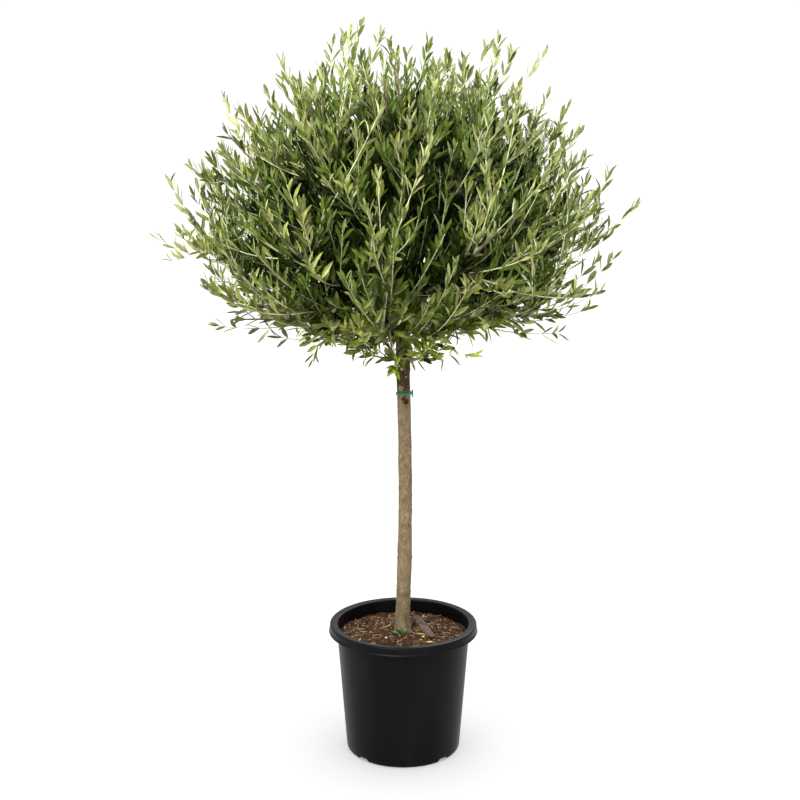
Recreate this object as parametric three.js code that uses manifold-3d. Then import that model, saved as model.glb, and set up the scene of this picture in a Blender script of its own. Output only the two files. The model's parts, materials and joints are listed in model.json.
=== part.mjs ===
// An olive tree grown as a half standard, with a round clipped-up crown on a clear stem, in a black nursery pot.
// Millimetres, +Z up. The origin is the centre of the pot's flat underside; +X is the tree's right, -Y its front.
import * as THREE from "three";
import { mergeVertices } from "three/addons/utils/BufferGeometryUtils.js";
import Module from "manifold-3d";

const wasm = await Module();
wasm.setup();

// ---------------------------------------------------------------------------------------------------------------
// Driving dimensions
// ---------------------------------------------------------------------------------------------------------------

const GAP = 0.3; // clearance between pieces that touch

const POT = {
  height: 299,
  footRadius: 130, // outside, at the foot
  neckRadius: 151.5, // outside, just under the rim
  wall: 2.4,
  cornerRadius: 6, // between the wall and the flat underside
  floor: 3,
  rimRadius: 168,
  lipRadius: 170, // flared lower edge of the rim's skirt
  rimDrop: 19.5, // the rim's top to the skirt's lower edge
  rimRound: 4.5,
  rimWall: 2.6,
  notches: 4, // drain holes cut into the foot's edge
  firstNotch: 45, // degrees
  notchWidth: 28,
  notchHeight: 6,
  notchDepth: 16, // in from the foot's edge
  sides: 36,
};

const SOIL = { edgeHeight: 270, moundHeight: 276, moundRadius: 52 };

const TRUNK = {
  tipHeight: 1136,
  radius: 16.4, // above the root flare
  crownRadius: 14, // where the crown begins
  tipRadius: 8,
  flare: 4.6, // extra radius at the ground
  flareFade: 22,
  crownHeight: 930,
  bow: 6.5, // sideways bend at mid height
  lean: -2, // the foot and the fork, off the pot's axis
  sway: 3, // front to back
  sides: 12,
  steps: 13,
};

const TIE = { height: 832, section: 2.5, bite: 1.1, knot: 4.4, sides: 16 };

const CROWN = {
  centre: new THREE.Vector3(-14, 0, 1130),
  width: 545, // the centre to the tips, level
  rise: 500, // the centre to the top
  drop: 236, // the centre to the lowest tips
};

// Tiers of boughs, from the lowest. Elevations are seen from the crown's centre, in degrees; forks are heights on
// the trunk, one bough of the tier at each `step` above. `sag` lowers the limb's middle, as a share of its length,
// so a positive sag gives a limb that turns up towards its tip. The `bare` share of a limb is its bough.
const TIERS = [
  {
    name: "skirt",
    count: 6,
    azimuth: 27,
    elevation: -15,
    fork: 942,
    step: 9,
    radius: 6.6,
    sag: -0.03,
    bare: 0.2,
    twigs: 4,
  },
  {
    name: "low",
    count: 6,
    azimuth: -3,
    elevation: 9,
    fork: 1000,
    step: 9,
    radius: 7.2,
    sag: 0.09,
    bare: 0.18,
    twigs: 5,
  },
  {
    name: "middle",
    count: 6,
    azimuth: 5,
    elevation: 37,
    fork: 1050,
    step: 7,
    radius: 6.4,
    sag: 0.1,
    bare: 0.2,
    twigs: 5,
  },
  {
    name: "upper",
    count: 4,
    azimuth: -6,
    elevation: 60,
    fork: 1088,
    step: 8,
    radius: 5.6,
    sag: 0.07,
    bare: 0.24,
    twigs: 5,
  },
];

const LIMB = {
  boughTaper: 0.72, // the bough's tip as a share of its radius at the trunk
  stemTaper: 0.68,
  tipRadius: 2,
  sides: 6, // of a bough
  boughSteps: 2,
  steps: 4, // of a stem
  turn: 6, // degrees of seeded sideways scatter
};

const TWIG = {
  first: 0.04, // shares of the stem between which twigs leave it
  last: 0.74,
  angle: 52, // degrees off the stem
  lowestFill: 0.9, // shares of the crown's reach at which twigs end, up to the whole
  tries: 9, // sides tried for each twig, to find the one with the most room
  lift: 0.2, // how much a twig turns up, as a share of its length
  longest: 300,
  shortest: 60,
  radius: 3,
  steps: 1,
  sides: 3,
};

const LEAF = {
  length: 112,
  width: 34,
  thickness: 2.6,
  widest: 0.42, // share of the length
  innerScale: 1.4, // deep in the crown, where one leaf stands for many
  outerScale: 0.76, // at the crown's surface
  angle: 38, // degrees off its shoot
  spacing: 38, // along a shoot
  clear: 0.1, // share of a leaf, at its foot, that may touch other leaves
  bare: 0.06, // share of a shoot, at its foot, with no leaves
  fits: [[1, 1], [0.8, 0.8], [0.62, 1.1]], // shares of size and of angle, tried until a leaf fits
};

// Short leafy sprigs straight on the trunk, just under the crown.
const SPRIGS = { count: 5, azimuth: 255, turn: 137.5, height: 896, step: 5, length: 78, rise: 0.12, radius: 3 };

const SPACE_MARGIN = 3; // how far inside its own space everything in a mass stays
const SEED = 42;

// ---------------------------------------------------------------------------------------------------------------
// Materials
// ---------------------------------------------------------------------------------------------------------------

const material = (color, roughness) => new THREE.MeshStandardMaterial({ color, roughness, metalness: 0 });

const PLASTIC = material(0x1b1b1c, 0.45);
const COMPOST = material(0x5a4636, 0.95);
const BARK = material(0x98876c, 0.85);
const YOUNG_BARK = material(0x8a8266, 0.8);
const FOLIAGE = material(0x66753a, 0.6);
const TIE_GREEN = material(0x1f7a55, 0.5);

// ---------------------------------------------------------------------------------------------------------------
// Helpers
// ---------------------------------------------------------------------------------------------------------------

const UP = new THREE.Vector3(0, 0, 1);
const RIGHT = new THREE.Vector3(1, 0, 0);
const radians = THREE.MathUtils.degToRad;
const lerp = THREE.MathUtils.lerp;

/** The same run of numbers from 0 to 1 for the same seed. */
function seededRandom(seed) {
  let state = seed >>> 0;
  return () => {
    state = (state + 0x6d2b79f5) >>> 0;
    let mixed = Math.imul(state ^ (state >>> 15), state | 1);
    mixed = (mixed + Math.imul(mixed ^ (mixed >>> 7), mixed | 61)) ^ mixed;
    return ((mixed ^ (mixed >>> 14)) >>> 0) / 4294967296;
  };
}

/** A closed three.js geometry as a solid that can be joined and cut. */
function solid(geometry) {
  const bare = new THREE.BufferGeometry().setAttribute("position", geometry.getAttribute("position"));
  bare.setIndex(geometry.index);
  const merged = mergeVertices(bare, 1e-4);
  return new wasm.Manifold(
    new wasm.Mesh({
      numProp: 3,
      vertProperties: new Float32Array(merged.getAttribute("position").array),
      triVerts: new Uint32Array(merged.index.array),
    }),
  );
}

/** A solid's biggest piece, with any sealed hollow filled and any loose scrap dropped. */
function wholePiece(fused) {
  return fused.decompose().reduce((a, b) => (b.volume() > a.volume() ? b : a));
}

/** A solid as a three.js geometry. */
function geometryOf(shape) {
  const mesh = shape.getMesh();
  const geometry = new THREE.BufferGeometry();
  geometry.setAttribute("position", new THREE.BufferAttribute(new Float32Array(mesh.vertProperties), 3));
  geometry.setIndex(new THREE.BufferAttribute(new Uint32Array(mesh.triVerts), 1));
  return geometry;
}

function joined(shapes) {
  return shapes.reduce((whole, shape) => whole.add(shape));
}

/** A ring profile of [radius, height] points turned about the Z axis. The points run anticlockwise. */
function turned(profile, sides) {
  const points = profile.map(([radius, height]) => new THREE.Vector2(radius, height));
  if (points[0].x > 0) points.push(points[0].clone());
  return new THREE.LatheGeometry(points, sides).rotateX(Math.PI / 2);
}

/** Points of an arc about a centre, from one angle to another, in degrees. */
function arc([x, y], radius, from, to, count) {
  return Array.from({ length: count }, (_, i) => {
    const angle = radians(lerp(from, to, i / (count - 1)));
    return [x + radius * Math.cos(angle), y + radius * Math.sin(angle)];
  });
}

/** A limb, a stem or a twig: a curve that is built as a bar of a few straight steps. */
class Shoot extends THREE.QuadraticBezierCurve3 {
  constructor(from, control, to, steps) {
    super(from, control, to);
    this.steps = steps;
  }

  /** The stretch between two parameters, as a shoot of its own. */
  stretch(from, to, steps) {
    const control = this.v0.clone().lerp(this.v1, from).lerp(this.v1.clone().lerp(this.v2, from), to);
    return new Shoot(this.getPoint(from), control, this.getPoint(to), steps);
  }

  /** The centre of the bar at a share of its steps. */
  centre(share) {
    const step = Math.min(Math.floor(share * this.steps), this.steps - 1);
    const from = this.getPoint(step / this.steps);
    return from.lerp(this.getPoint((step + 1) / this.steps), share * this.steps - step);
  }

  /** A direction square to the shoot, at a roll about it in degrees. */
  side(share, roll) {
    const chord = this.v2.clone().sub(this.v0).normalize();
    const tangent = this.getTangent(share);
    const side = new THREE.Vector3().crossVectors(tangent, Math.abs(chord.z) > 0.9 ? RIGHT : UP);
    return side.normalize().applyAxisAngle(tangent, radians(roll));
  }

  /** The straight lines between the ends of the steps. */
  lines() {
    const points = this.getPoints(this.steps);
    return points.slice(1).map((point, i) => [points[i], point]);
  }

  /** The bar as a solid, tapering from one radius to another. */
  bar(fromRadius, toRadius, sides) {
    const geometry = new THREE.CylinderGeometry(1, 1, 1, sides, this.steps);
    const position = geometry.getAttribute("position");
    const corner = new THREE.Vector3();
    for (let i = 0; i < position.count; i += 1) {
      corner.fromBufferAttribute(position, i);
      const share = Math.round((corner.y + 0.5) * this.steps) / this.steps;
      const radius = lerp(fromRadius, toRadius, share);
      const place = this.getPoint(share);
      place.addScaledVector(this.side(share, 90), corner.x * radius);
      place.addScaledVector(this.side(share, 0), corner.z * radius);
      position.setXYZ(i, place.x, place.y, place.z);
    }
    return solid(geometry);
  }
}

/** How far a point is from a straight line between two others. */
function distanceToLine(point, [from, to]) {
  return new THREE.Line3(from, to).closestPointToPoint(point, true, new THREE.Vector3()).distanceTo(point);
}

// ---------------------------------------------------------------------------------------------------------------
// Pot and soil
// ---------------------------------------------------------------------------------------------------------------

/** The outside radius of the pot's wall at a height. */
function wallRadius(height) {
  return lerp(POT.footRadius, POT.neckRadius, height / (POT.height - POT.rimDrop));
}

function potSolid() {
  const { height, wall, rimWall, rimRound, cornerRadius: corner } = POT;
  const skirtFoot = height - POT.rimDrop;
  const footEdge = wallRadius(0) - corner;
  const innerRim = POT.neckRadius + 1;
  const topRadius = POT.rimRadius - rimRound;
  const profile = [
    [0, 0],
    ...arc([footEdge, corner], corner, -90, -10, 3),
    [wallRadius(skirtFoot + rimWall), height - rimWall - rimRound],
    [innerRim + rimWall, height - rimWall],
    [POT.rimRadius - rimWall, height - rimRound],
    [POT.lipRadius - rimWall, skirtFoot],
    [POT.lipRadius, skirtFoot],
    [POT.lipRadius, skirtFoot + 3],
    [POT.rimRadius, skirtFoot + 6],
    ...arc([topRadius, height - rimRound], rimRound, 0, 90, 3),
    ...arc([innerRim, height - 3], 3, 90, 180, 2),
    [wallRadius(POT.floor) - wall, POT.floor],
    [0, POT.floor],
  ];
  let pot = solid(turned(profile, POT.sides));
  for (let i = 0; i < POT.notches; i += 1) {
    const notch = new THREE.BoxGeometry(POT.notchDepth * 2, POT.notchWidth, POT.notchHeight * 2);
    notch.translate(POT.footRadius, 0, 0).rotateZ(radians(POT.firstNotch + (i * 360) / POT.notches));
    pot = pot.subtract(solid(notch));
  }
  return pot;
}

function soilGeometry() {
  const floorTop = POT.floor + GAP;
  const inside = (height) => wallRadius(height) - POT.wall - GAP - 0.6;
  return turned(
    [
      [0, floorTop],
      [inside(floorTop), floorTop],
      [inside(SOIL.edgeHeight), SOIL.edgeHeight],
      [SOIL.moundRadius * 1.9, lerp(SOIL.edgeHeight, SOIL.moundHeight, 0.35)],
      [SOIL.moundRadius, SOIL.moundHeight],
      [0, SOIL.moundHeight],
    ],
    POT.sides,
  );
}

// ---------------------------------------------------------------------------------------------------------------
// Trunk and tie
// ---------------------------------------------------------------------------------------------------------------

const GROUND = SOIL.moundHeight + GAP;

/** The trunk's centre at a height: a shallow bow to the right, back on its line where the crown begins. */
function trunkCentre(height) {
  const share = Math.min((height - GROUND) / (TRUNK.crownHeight - GROUND), 1);
  return new THREE.Vector3(
    TRUNK.lean + TRUNK.bow * Math.sin(Math.PI * share),
    TRUNK.sway * Math.sin(2 * Math.PI * share),
    height,
  );
}

/** The trunk's radius at a height, with the root flare at the ground. */
function trunkRadius(height) {
  const flare = TRUNK.flare * Math.exp(-(height - GROUND) / TRUNK.flareFade);
  if (height <= TRUNK.crownHeight) {
    const share = (height - GROUND) / (TRUNK.crownHeight - GROUND);
    return lerp(TRUNK.radius, TRUNK.crownRadius, share) + flare;
  }
  const share = (height - TRUNK.crownHeight) / (TRUNK.tipHeight - TRUNK.crownHeight);
  return lerp(TRUNK.crownRadius, TRUNK.tipRadius, share);
}

/** The trunk, or the space it takes with a clearance all round it: level rings, closer together at the flare. */
function trunkSolid(clearance = 0) {
  const geometry = new THREE.CylinderGeometry(1, 1, 1, TRUNK.sides, TRUNK.steps).rotateX(Math.PI / 2);
  const position = geometry.getAttribute("position");
  const corner = new THREE.Vector3();
  for (let i = 0; i < position.count; i += 1) {
    corner.fromBufferAttribute(position, i);
    const share = (corner.z + 0.5) ** 1.35;
    const height = lerp(GROUND, TRUNK.tipHeight, share);
    const centre = trunkCentre(height);
    const radius = trunkRadius(height) + clearance;
    const lift = share === 1 ? clearance : 0;
    position.setXYZ(i, centre.x + corner.x * radius, centre.y + corner.y * radius, height + lift);
  }
  return solid(geometry);
}

/** The tube tie round the trunk, drawn in against the bark and knotted at its right. */
function tieSolid() {
  const centre = trunkCentre(TIE.height);
  const radius = trunkRadius(TIE.height) + TIE.section - TIE.bite;
  const ring = new THREE.TorusGeometry(radius, TIE.section, 5, TIE.sides).translate(...centre.toArray());
  const knot = new THREE.SphereGeometry(TIE.knot, 6, 4).scale(0.8, 1, 1.1);
  knot.translate(centre.x + radius + TIE.section * 0.6, centre.y, centre.z - 0.5);
  return wholePiece(solid(ring).add(solid(knot)).subtract(trunkSolid(GAP)));
}

// ---------------------------------------------------------------------------------------------------------------
// The crown's plan: one limb for each bough and the foliage on it
// ---------------------------------------------------------------------------------------------------------------

/** The unit vector at an azimuth and an elevation in degrees. */
function heading(azimuth, elevation) {
  return new THREE.Vector3(1, 0, 0).applyEuler(
    new THREE.Euler(0, -radians(elevation), radians(azimuth), "ZYX"),
  );
}

/** How far the crown reaches from its centre towards a direction. */
function crownReach(direction) {
  const vertical = direction.z > 0 ? CROWN.rise : CROWN.drop;
  const level = Math.hypot(direction.x, direction.y) / CROWN.width;
  return 1 / Math.hypot(level, direction.z / vertical);
}

/** True if a point is within a share of the crown's reach. */
function inCrown(point, share) {
  const out = point.clone().sub(CROWN.centre);
  return out.length() <= crownReach(out.clone().normalize()) * share;
}

/** One limb of a tier: the curve of its bough from the trunk's axis, and of the stem that goes on into its foliage. */
function planLimb(tier, index) {
  const random = seededRandom(SEED + 101 * TIERS.indexOf(tier) + 13 * index);
  const azimuth = tier.azimuth + (index * 360) / tier.count + (random() - 0.5) * 2 * LIMB.turn;
  const direction = heading(azimuth, tier.elevation + (random() - 0.5) * LIMB.turn);
  const rank = Math.floor(index / 2) + (index % 2) * Math.ceil(tier.count / 2);
  const foot = trunkCentre(tier.fork + tier.step * rank);
  const reach = crownReach(direction) * (1 - 0.04 * random());
  const tip = CROWN.centre.clone().addScaledVector(direction, reach - LEAF.length * 0.7);
  const middle = foot.clone().lerp(tip, 0.5);
  middle.z -= tier.sag * foot.distanceTo(tip);
  const whole = new Shoot(foot, middle, tip, LIMB.steps);
  const seam = GAP / foot.distanceTo(tip);
  return {
    name: `${tier.name}_${index + 1}`,
    random,
    bough: whole.stretch(0, tier.bare, LIMB.boughSteps),
    stem: whole.stretch(tier.bare + seam, 1, LIMB.steps),
    boughRadius: tier.radius,
    stemRadius: tier.radius * LIMB.stemTaper,
    twigs: tier.twigs,
  };
}

/** The leader: foliage straight on the trunk's tip. */
function planLeader() {
  const foot = trunkCentre(TRUNK.tipHeight);
  foot.z += GAP;
  const tip = CROWN.centre.clone();
  tip.z += CROWN.rise - LEAF.length * 0.7;
  const middle = foot.clone().lerp(tip, 0.5);
  middle.x += 8;
  return {
    name: "leader",
    random: seededRandom(SEED + 977),
    bough: null,
    stem: new Shoot(foot, middle, tip, LIMB.steps),
    stemRadius: TRUNK.tipRadius * LIMB.stemTaper,
    twigs: 7,
  };
}

/** A sprig straight on the trunk: its stem starts in the bark, and is cut just clear of it. */
function planSprig(index) {
  const azimuth = SPRIGS.azimuth + index * SPRIGS.turn;
  const height = SPRIGS.height + SPRIGS.step * index;
  const direction = heading(azimuth, 0);
  const foot = trunkCentre(height).addScaledVector(direction, trunkRadius(height) - SPRIGS.radius);
  const tip = foot.clone().addScaledVector(direction, SPRIGS.length);
  tip.z += SPRIGS.rise * SPRIGS.length;
  return {
    name: `sprig_${index + 1}`,
    random: seededRandom(SEED + 1301 + index),
    bough: null,
    stem: new Shoot(foot, foot.clone().lerp(tip, 0.5), tip, 1),
    stemRadius: SPRIGS.radius,
    twigs: 0,
  };
}

const LIMBS = [
  ...Array.from({ length: SPRIGS.count }, (_, i) => planSprig(i)),
  ...TIERS.flatMap((tier) => Array.from({ length: tier.count }, (_, i) => planLimb(tier, i))),
  planLeader(),
];

const AXES = LIMBS.map((limb) => limb.stem.lines());

/** Wood that foliage keeps clear of, as lines with a radius each. */
const WOOD = [
  ...[GROUND, 500, 800, 900, 960, 1020, 1080].map((height, i, heights) => ({
    line: [trunkCentre(height), trunkCentre(heights[i + 1] ?? TRUNK.tipHeight)],
    radius: trunkRadius(height),
  })),
  ...LIMBS.filter((limb) => limb.bough).flatMap((limb) =>
    limb.bough.lines().map((line) => ({ line, radius: limb.boughRadius })),
  ),
];

/** True if a point lies inside a limb's own space: nearer to its stem than to any other's, and clear of all wood. */
function inOwnSpace(point, owner) {
  const away = AXES.map((axis) => Math.min(...axis.map((line) => distanceToLine(point, line))));
  const nearestOther = Math.min(...away.filter((_, i) => i !== owner));
  if (away[owner] > nearestOther - 2 * SPACE_MARGIN) return false;
  return WOOD.every(({ line, radius }) => distanceToLine(point, line) > radius + SPACE_MARGIN);
}

// ---------------------------------------------------------------------------------------------------------------
// Growth: twigs on a stem, leaves on a shoot
// ---------------------------------------------------------------------------------------------------------------

/** A twig from a place on a stem, as long as it can be within the crown and the limb's space, or null. */
function twigCurve(limb, owner, share, roll, angle, fill) {
  const foot = limb.stem.centre(share);
  const tangent = limb.stem.getTangent(share);
  const direction = tangent.clone().multiplyScalar(Math.cos(angle));
  direction.addScaledVector(limb.stem.side(share, roll), Math.sin(angle));
  for (let length = TWIG.longest; length >= TWIG.shortest; length *= 0.88) {
    const tip = foot.clone().addScaledVector(direction, length);
    tip.z += TWIG.lift * length;
    const leafTip = tip.clone().addScaledVector(direction, LEAF.length * LEAF.outerScale);
    if (inCrown(leafTip, fill) && inOwnSpace(tip, owner)) {
      const middle = foot.clone().addScaledVector(direction, length * 0.55);
      return new Shoot(foot, middle, tip, TWIG.steps);
    }
  }
  return null;
}

/** The curves of the twigs on a limb's stem, each on the side with the most room. */
function twigCurves(limb, owner) {
  const curves = [];
  const taken = limb.stem.getPoints(4);
  for (let i = 0; i < limb.twigs; i += 1) {
    const share = lerp(TWIG.first, TWIG.last, i / Math.max(limb.twigs - 1, 1));
    const fill = lerp(TWIG.lowestFill, 1, limb.random());
    let best = null;
    let mostRoom = 0;
    for (let attempt = 0; attempt < TWIG.tries; attempt += 1) {
      const angle = radians(TWIG.angle + (limb.random() - 0.5) * 24);
      const curve = twigCurve(limb, owner, share, limb.random() * 360, angle, fill);
      const room = curve ? Math.min(...taken.map((point) => point.distanceTo(curve.v2))) : 0;
      if (room > mostRoom) {
        best = curve;
        mostRoom = room;
      }
    }
    if (best) {
      curves.push(best);
      taken.push(best.getPoint(0.6), best.v2);
    }
  }
  return curves;
}

/** A six-faced leaf laid along a direction from its foot: flat on the side of its normal, keeled on the other. */
function leafGeometry(foot, direction, normal, length) {
  const widest = LEAF.widest * length;
  const half = (LEAF.width / 2) * (length / LEAF.length);
  const corners = [0, 0, 0, widest, half, 0, length, 0, 0, widest, -half, 0, widest, 0, -LEAF.thickness];
  const faces = [0, 3, 1, 3, 2, 1, 0, 1, 4, 1, 2, 4, 2, 3, 4, 3, 0, 4];
  const geometry = new THREE.BufferGeometry().setIndex(faces);
  geometry.setAttribute("position", new THREE.Float32BufferAttribute(corners, 3));
  const across = new THREE.Vector3().crossVectors(normal, direction);
  return geometry.applyMatrix4(new THREE.Matrix4().makeBasis(direction, across, normal).setPosition(foot));
}

/** True if a leaf's corners are all inside a limb's space. */
function leafInSpace(foot, direction, normal, length, owner) {
  const across = new THREE.Vector3().crossVectors(normal, direction);
  const half = (LEAF.width / 2) * (length / LEAF.length);
  const at = (along, aside) =>
    foot.clone().addScaledVector(direction, along * length).addScaledVector(across, aside * half);
  return [at(1, 0), at(0.2, 0), at(0.7, 0), at(LEAF.widest, 1), at(LEAF.widest, -1)].every((corner) =>
    inOwnSpace(corner, owner),
  );
}

/** A leaf as a solid from its foot on a shoot, or null where it would leave the limb's space or cross something. */
function leafSolid({ foot, tangent, side, angle, size }, owner, taken) {
  for (const [sizeShare, angleShare] of LEAF.fits) {
    const lean = angle * angleShare;
    const length = LEAF.length * size * sizeShare;
    const direction = tangent.clone().multiplyScalar(Math.cos(lean)).addScaledVector(side, Math.sin(lean));
    direction.z += 0.1;
    direction.normalize();
    const normal = tangent.clone().addScaledVector(side, -0.9);
    normal.addScaledVector(direction, -normal.dot(direction)).normalize();
    if (!leafInSpace(foot, direction, normal, length, owner)) continue;
    const clearFoot = foot.clone().addScaledVector(direction, LEAF.clear * length);
    const blade = solid(leafGeometry(clearFoot, direction, normal, length * (1.02 - LEAF.clear)));
    if (!taken || blade.intersect(taken).isEmpty()) return solid(leafGeometry(foot, direction, normal, length));
  }
  return null;
}

/** The places for leaves on a shoot: each from the middle of the next of its flat sides, and one at the tip. */
function leafPlaces(shoot, random) {
  const places = [];
  const length = shoot.v0.distanceTo(shoot.v2);
  const flatRoll = (index) => ((index + 0.5) * 360) / TWIG.sides;
  let index = Math.floor(random() * TWIG.sides);
  for (let left = length * (1 - LEAF.bare); left > LEAF.spacing * 0.5; left -= LEAF.spacing) {
    const share = 1 - left / length;
    const foot = shoot.centre(share);
    const out = foot.clone().sub(CROWN.centre);
    const depth = Math.min(out.length() / crownReach(out.clone().normalize()), 1);
    places.push({
      foot,
      tangent: shoot.getTangent(share),
      side: shoot.side(share, flatRoll(index)),
      angle: radians(LEAF.angle + (random() - 0.5) * 14),
      size: lerp(LEAF.innerScale, LEAF.outerScale, depth) * (0.9 + 0.2 * random()),
    });
    index += 1;
  }
  places.push({
    foot: shoot.centre(1 - 3 / length),
    tangent: shoot.getTangent(1),
    side: shoot.side(1, flatRoll(index)),
    angle: 0.08,
    size: LEAF.outerScale,
  });
  return places;
}

/** A limb's foliage as one solid: its stem, the twigs on it and the leaves on them all, none crossing another. */
function foliageSolid(limb, owner, trunkSpace) {
  const twigs = twigCurves(limb, owner);
  const wood = [
    limb.stem.bar(limb.stemRadius, LIMB.tipRadius, TWIG.sides),
    ...twigs.map((twig) => twig.bar(TWIG.radius, LIMB.tipRadius, TWIG.sides)),
  ];
  const leaves = [];
  [limb.stem, ...twigs].forEach((shoot, i) => {
    const others = [...wood.filter((_, j) => j !== i), ...leaves];
    let taken = others.length > 0 ? joined(others) : null;
    for (const place of leafPlaces(shoot, limb.random)) {
      const leaf = leafSolid(place, owner, taken);
      if (!leaf) continue;
      leaves.push(leaf);
      taken = taken ? taken.add(leaf) : leaf;
    }
  });
  return wholePiece(joined([...wood, ...leaves]).subtract(trunkSpace));
}

function boughSolid({ bough, boughRadius }, trunkSpace) {
  return wholePiece(bough.bar(boughRadius, boughRadius * LIMB.boughTaper, LIMB.sides).subtract(trunkSpace));
}

// ---------------------------------------------------------------------------------------------------------------
// Assembly
// ---------------------------------------------------------------------------------------------------------------

const tree = new THREE.Group();

function add(name, geometry, finish) {
  const mesh = new THREE.Mesh(geometry, finish);
  mesh.name = name;
  tree.add(mesh);
}

const trunkSpace = trunkSolid(GAP);
add("pot", geometryOf(potSolid()), PLASTIC);
add("soil", soilGeometry(), COMPOST);
add("trunk", geometryOf(trunkSolid()), BARK);
add("tie", geometryOf(tieSolid()), TIE_GREEN);
LIMBS.forEach((limb, owner) => {
  if (limb.bough) add(`bough_${limb.name}`, geometryOf(boughSolid(limb, trunkSpace)), YOUNG_BARK);
  add(`foliage_${limb.name}`, geometryOf(foliageSolid(limb, owner, trunkSpace)), FOLIAGE);
});

export default tree;
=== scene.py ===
"""Dresses an olive tree, grown as a half standard in a black nursery pot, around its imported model.

Metres, +Z up. The origin is the centre of the pot's flat underside; +X is the tree's right and -Y its front.
"""
import itertools
import json
import logging
import math
from dataclasses import astuple, dataclass, field, fields
from enum import Enum
from typing import Iterable, Optional, Sequence

import bmesh
import bpy
import numpy as np
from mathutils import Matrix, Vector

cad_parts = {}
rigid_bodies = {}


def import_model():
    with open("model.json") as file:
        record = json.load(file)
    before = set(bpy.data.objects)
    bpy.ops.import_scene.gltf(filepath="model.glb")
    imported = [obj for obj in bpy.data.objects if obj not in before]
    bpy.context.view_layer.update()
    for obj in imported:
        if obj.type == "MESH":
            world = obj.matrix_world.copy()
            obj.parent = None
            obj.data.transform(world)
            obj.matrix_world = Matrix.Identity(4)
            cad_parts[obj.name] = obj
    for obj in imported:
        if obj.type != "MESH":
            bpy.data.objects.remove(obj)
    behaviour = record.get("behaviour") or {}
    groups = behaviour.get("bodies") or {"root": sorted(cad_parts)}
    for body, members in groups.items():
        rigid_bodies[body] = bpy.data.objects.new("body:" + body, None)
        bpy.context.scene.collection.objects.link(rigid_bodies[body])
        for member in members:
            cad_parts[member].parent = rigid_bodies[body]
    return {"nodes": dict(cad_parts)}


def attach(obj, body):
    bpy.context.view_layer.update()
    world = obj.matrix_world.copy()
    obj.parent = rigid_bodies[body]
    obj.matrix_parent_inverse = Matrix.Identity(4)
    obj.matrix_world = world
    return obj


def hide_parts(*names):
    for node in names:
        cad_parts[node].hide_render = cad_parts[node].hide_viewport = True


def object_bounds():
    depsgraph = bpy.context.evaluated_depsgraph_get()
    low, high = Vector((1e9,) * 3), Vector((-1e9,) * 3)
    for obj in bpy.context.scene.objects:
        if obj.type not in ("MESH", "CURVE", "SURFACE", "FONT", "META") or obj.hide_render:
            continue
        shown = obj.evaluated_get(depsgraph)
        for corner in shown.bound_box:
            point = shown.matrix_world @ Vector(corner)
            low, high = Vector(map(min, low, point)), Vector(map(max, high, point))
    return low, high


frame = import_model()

LOG = logging.getLogger("olive")
LIT_BY_LAMPS = bpy.data.collections.new("lit_by_lamps")
CROWN = bpy.data.collections.new("crown")
MODEL_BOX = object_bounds()
BODY = "root"
MM = 0.001
GAP = 0.3 * MM
GOLDEN_ANGLE = 137.5
FULL_SIZE = 1.0

Pair = tuple[float, float]
Triple = tuple[float, float, float]
Colour = Triple
Faces = list[tuple[int, ...]]
Collection = bpy.types.Collection
Material = bpy.types.Material
Mesh = bpy.types.Mesh
Node = bpy.types.Node
Object = bpy.types.Object
Socket = bpy.types.NodeSocket
Tree = bpy.types.NodeTree
Array = np.ndarray
Random = np.random.Generator
UP = np.array([0.0, 0.0, 1.0])
RIGHT = np.array([1.0, 0.0, 0.0])


# ---- Numbers and curves ----


class Draws:
    """The same run of numbers from 0 to 1 for the same seed."""

    word = 0xFFFFFFFF
    step = 0x6D2B79F5

    def __init__(self, seed: int) -> None:
        """Starts the run at a seed."""
        self.state = seed & self.word

    def __call__(self) -> float:
        """Returns the next number of the run."""
        self.state = (self.state + self.step) & self.word
        mixed = ((self.state ^ (self.state >> 15)) * (self.state | 1)) & self.word
        mixed = ((mixed + (mixed ^ (mixed >> 7)) * (mixed | 61)) & self.word) ^ mixed
        return (mixed ^ (mixed >> 14)) / (self.word + 1)


def lerp(low: float, high: float, share: float) -> float:
    """Returns the number at a share of the way from low to high."""
    return low + (high - low) * share


def unit(vectors: Array) -> Array:
    """Returns one vector, or each row of several, at length 1."""
    return vectors / np.linalg.norm(vectors, axis=-1, keepdims=True)


def heading(azimuth: float, elevation: float) -> Array:
    """Returns the unit vector at an azimuth and an elevation in degrees."""
    a, e = math.radians(azimuth), math.radians(elevation)
    return np.array([math.cos(e) * math.cos(a), math.cos(e) * math.sin(a), math.sin(e)])


def smoothstep(values: Array) -> Array:
    """Returns values from 0 to 1 with both ends eased."""
    held = np.clip(values, 0.0, 1.0)
    return held * held * (3.0 - 2.0 * held)


CORNER_KEYS = (73856093, 19349663, 83492791)
SEED_KEY = 668265263
MIX_KEY = 1274126177


def lumps(points: Array, seed: int) -> Array:
    """Smooth noise with one lump to a unit of space.

    Args:
        points: Places, one to a row.
        seed: Picks one of many such fields.

    Returns:
        A number from -1 to 1 for each place.
    """
    cell = np.floor(points).astype(np.int64)
    part = smoothstep(points - cell)
    total = np.zeros(len(points))
    for corner in itertools.product((0, 1), repeat=3):
        key = ((cell + corner) * CORNER_KEYS).sum(axis=1) + seed * SEED_KEY
        key = ((key ^ (key >> 13)) * MIX_KEY) & 0x7FFFFFFF
        value = ((key ^ (key >> 16)) & 0xFFFF) / 32767.5 - 1.0
        total += value * np.prod(np.where(corner, part, 1.0 - part), axis=1)
    return total


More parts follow.
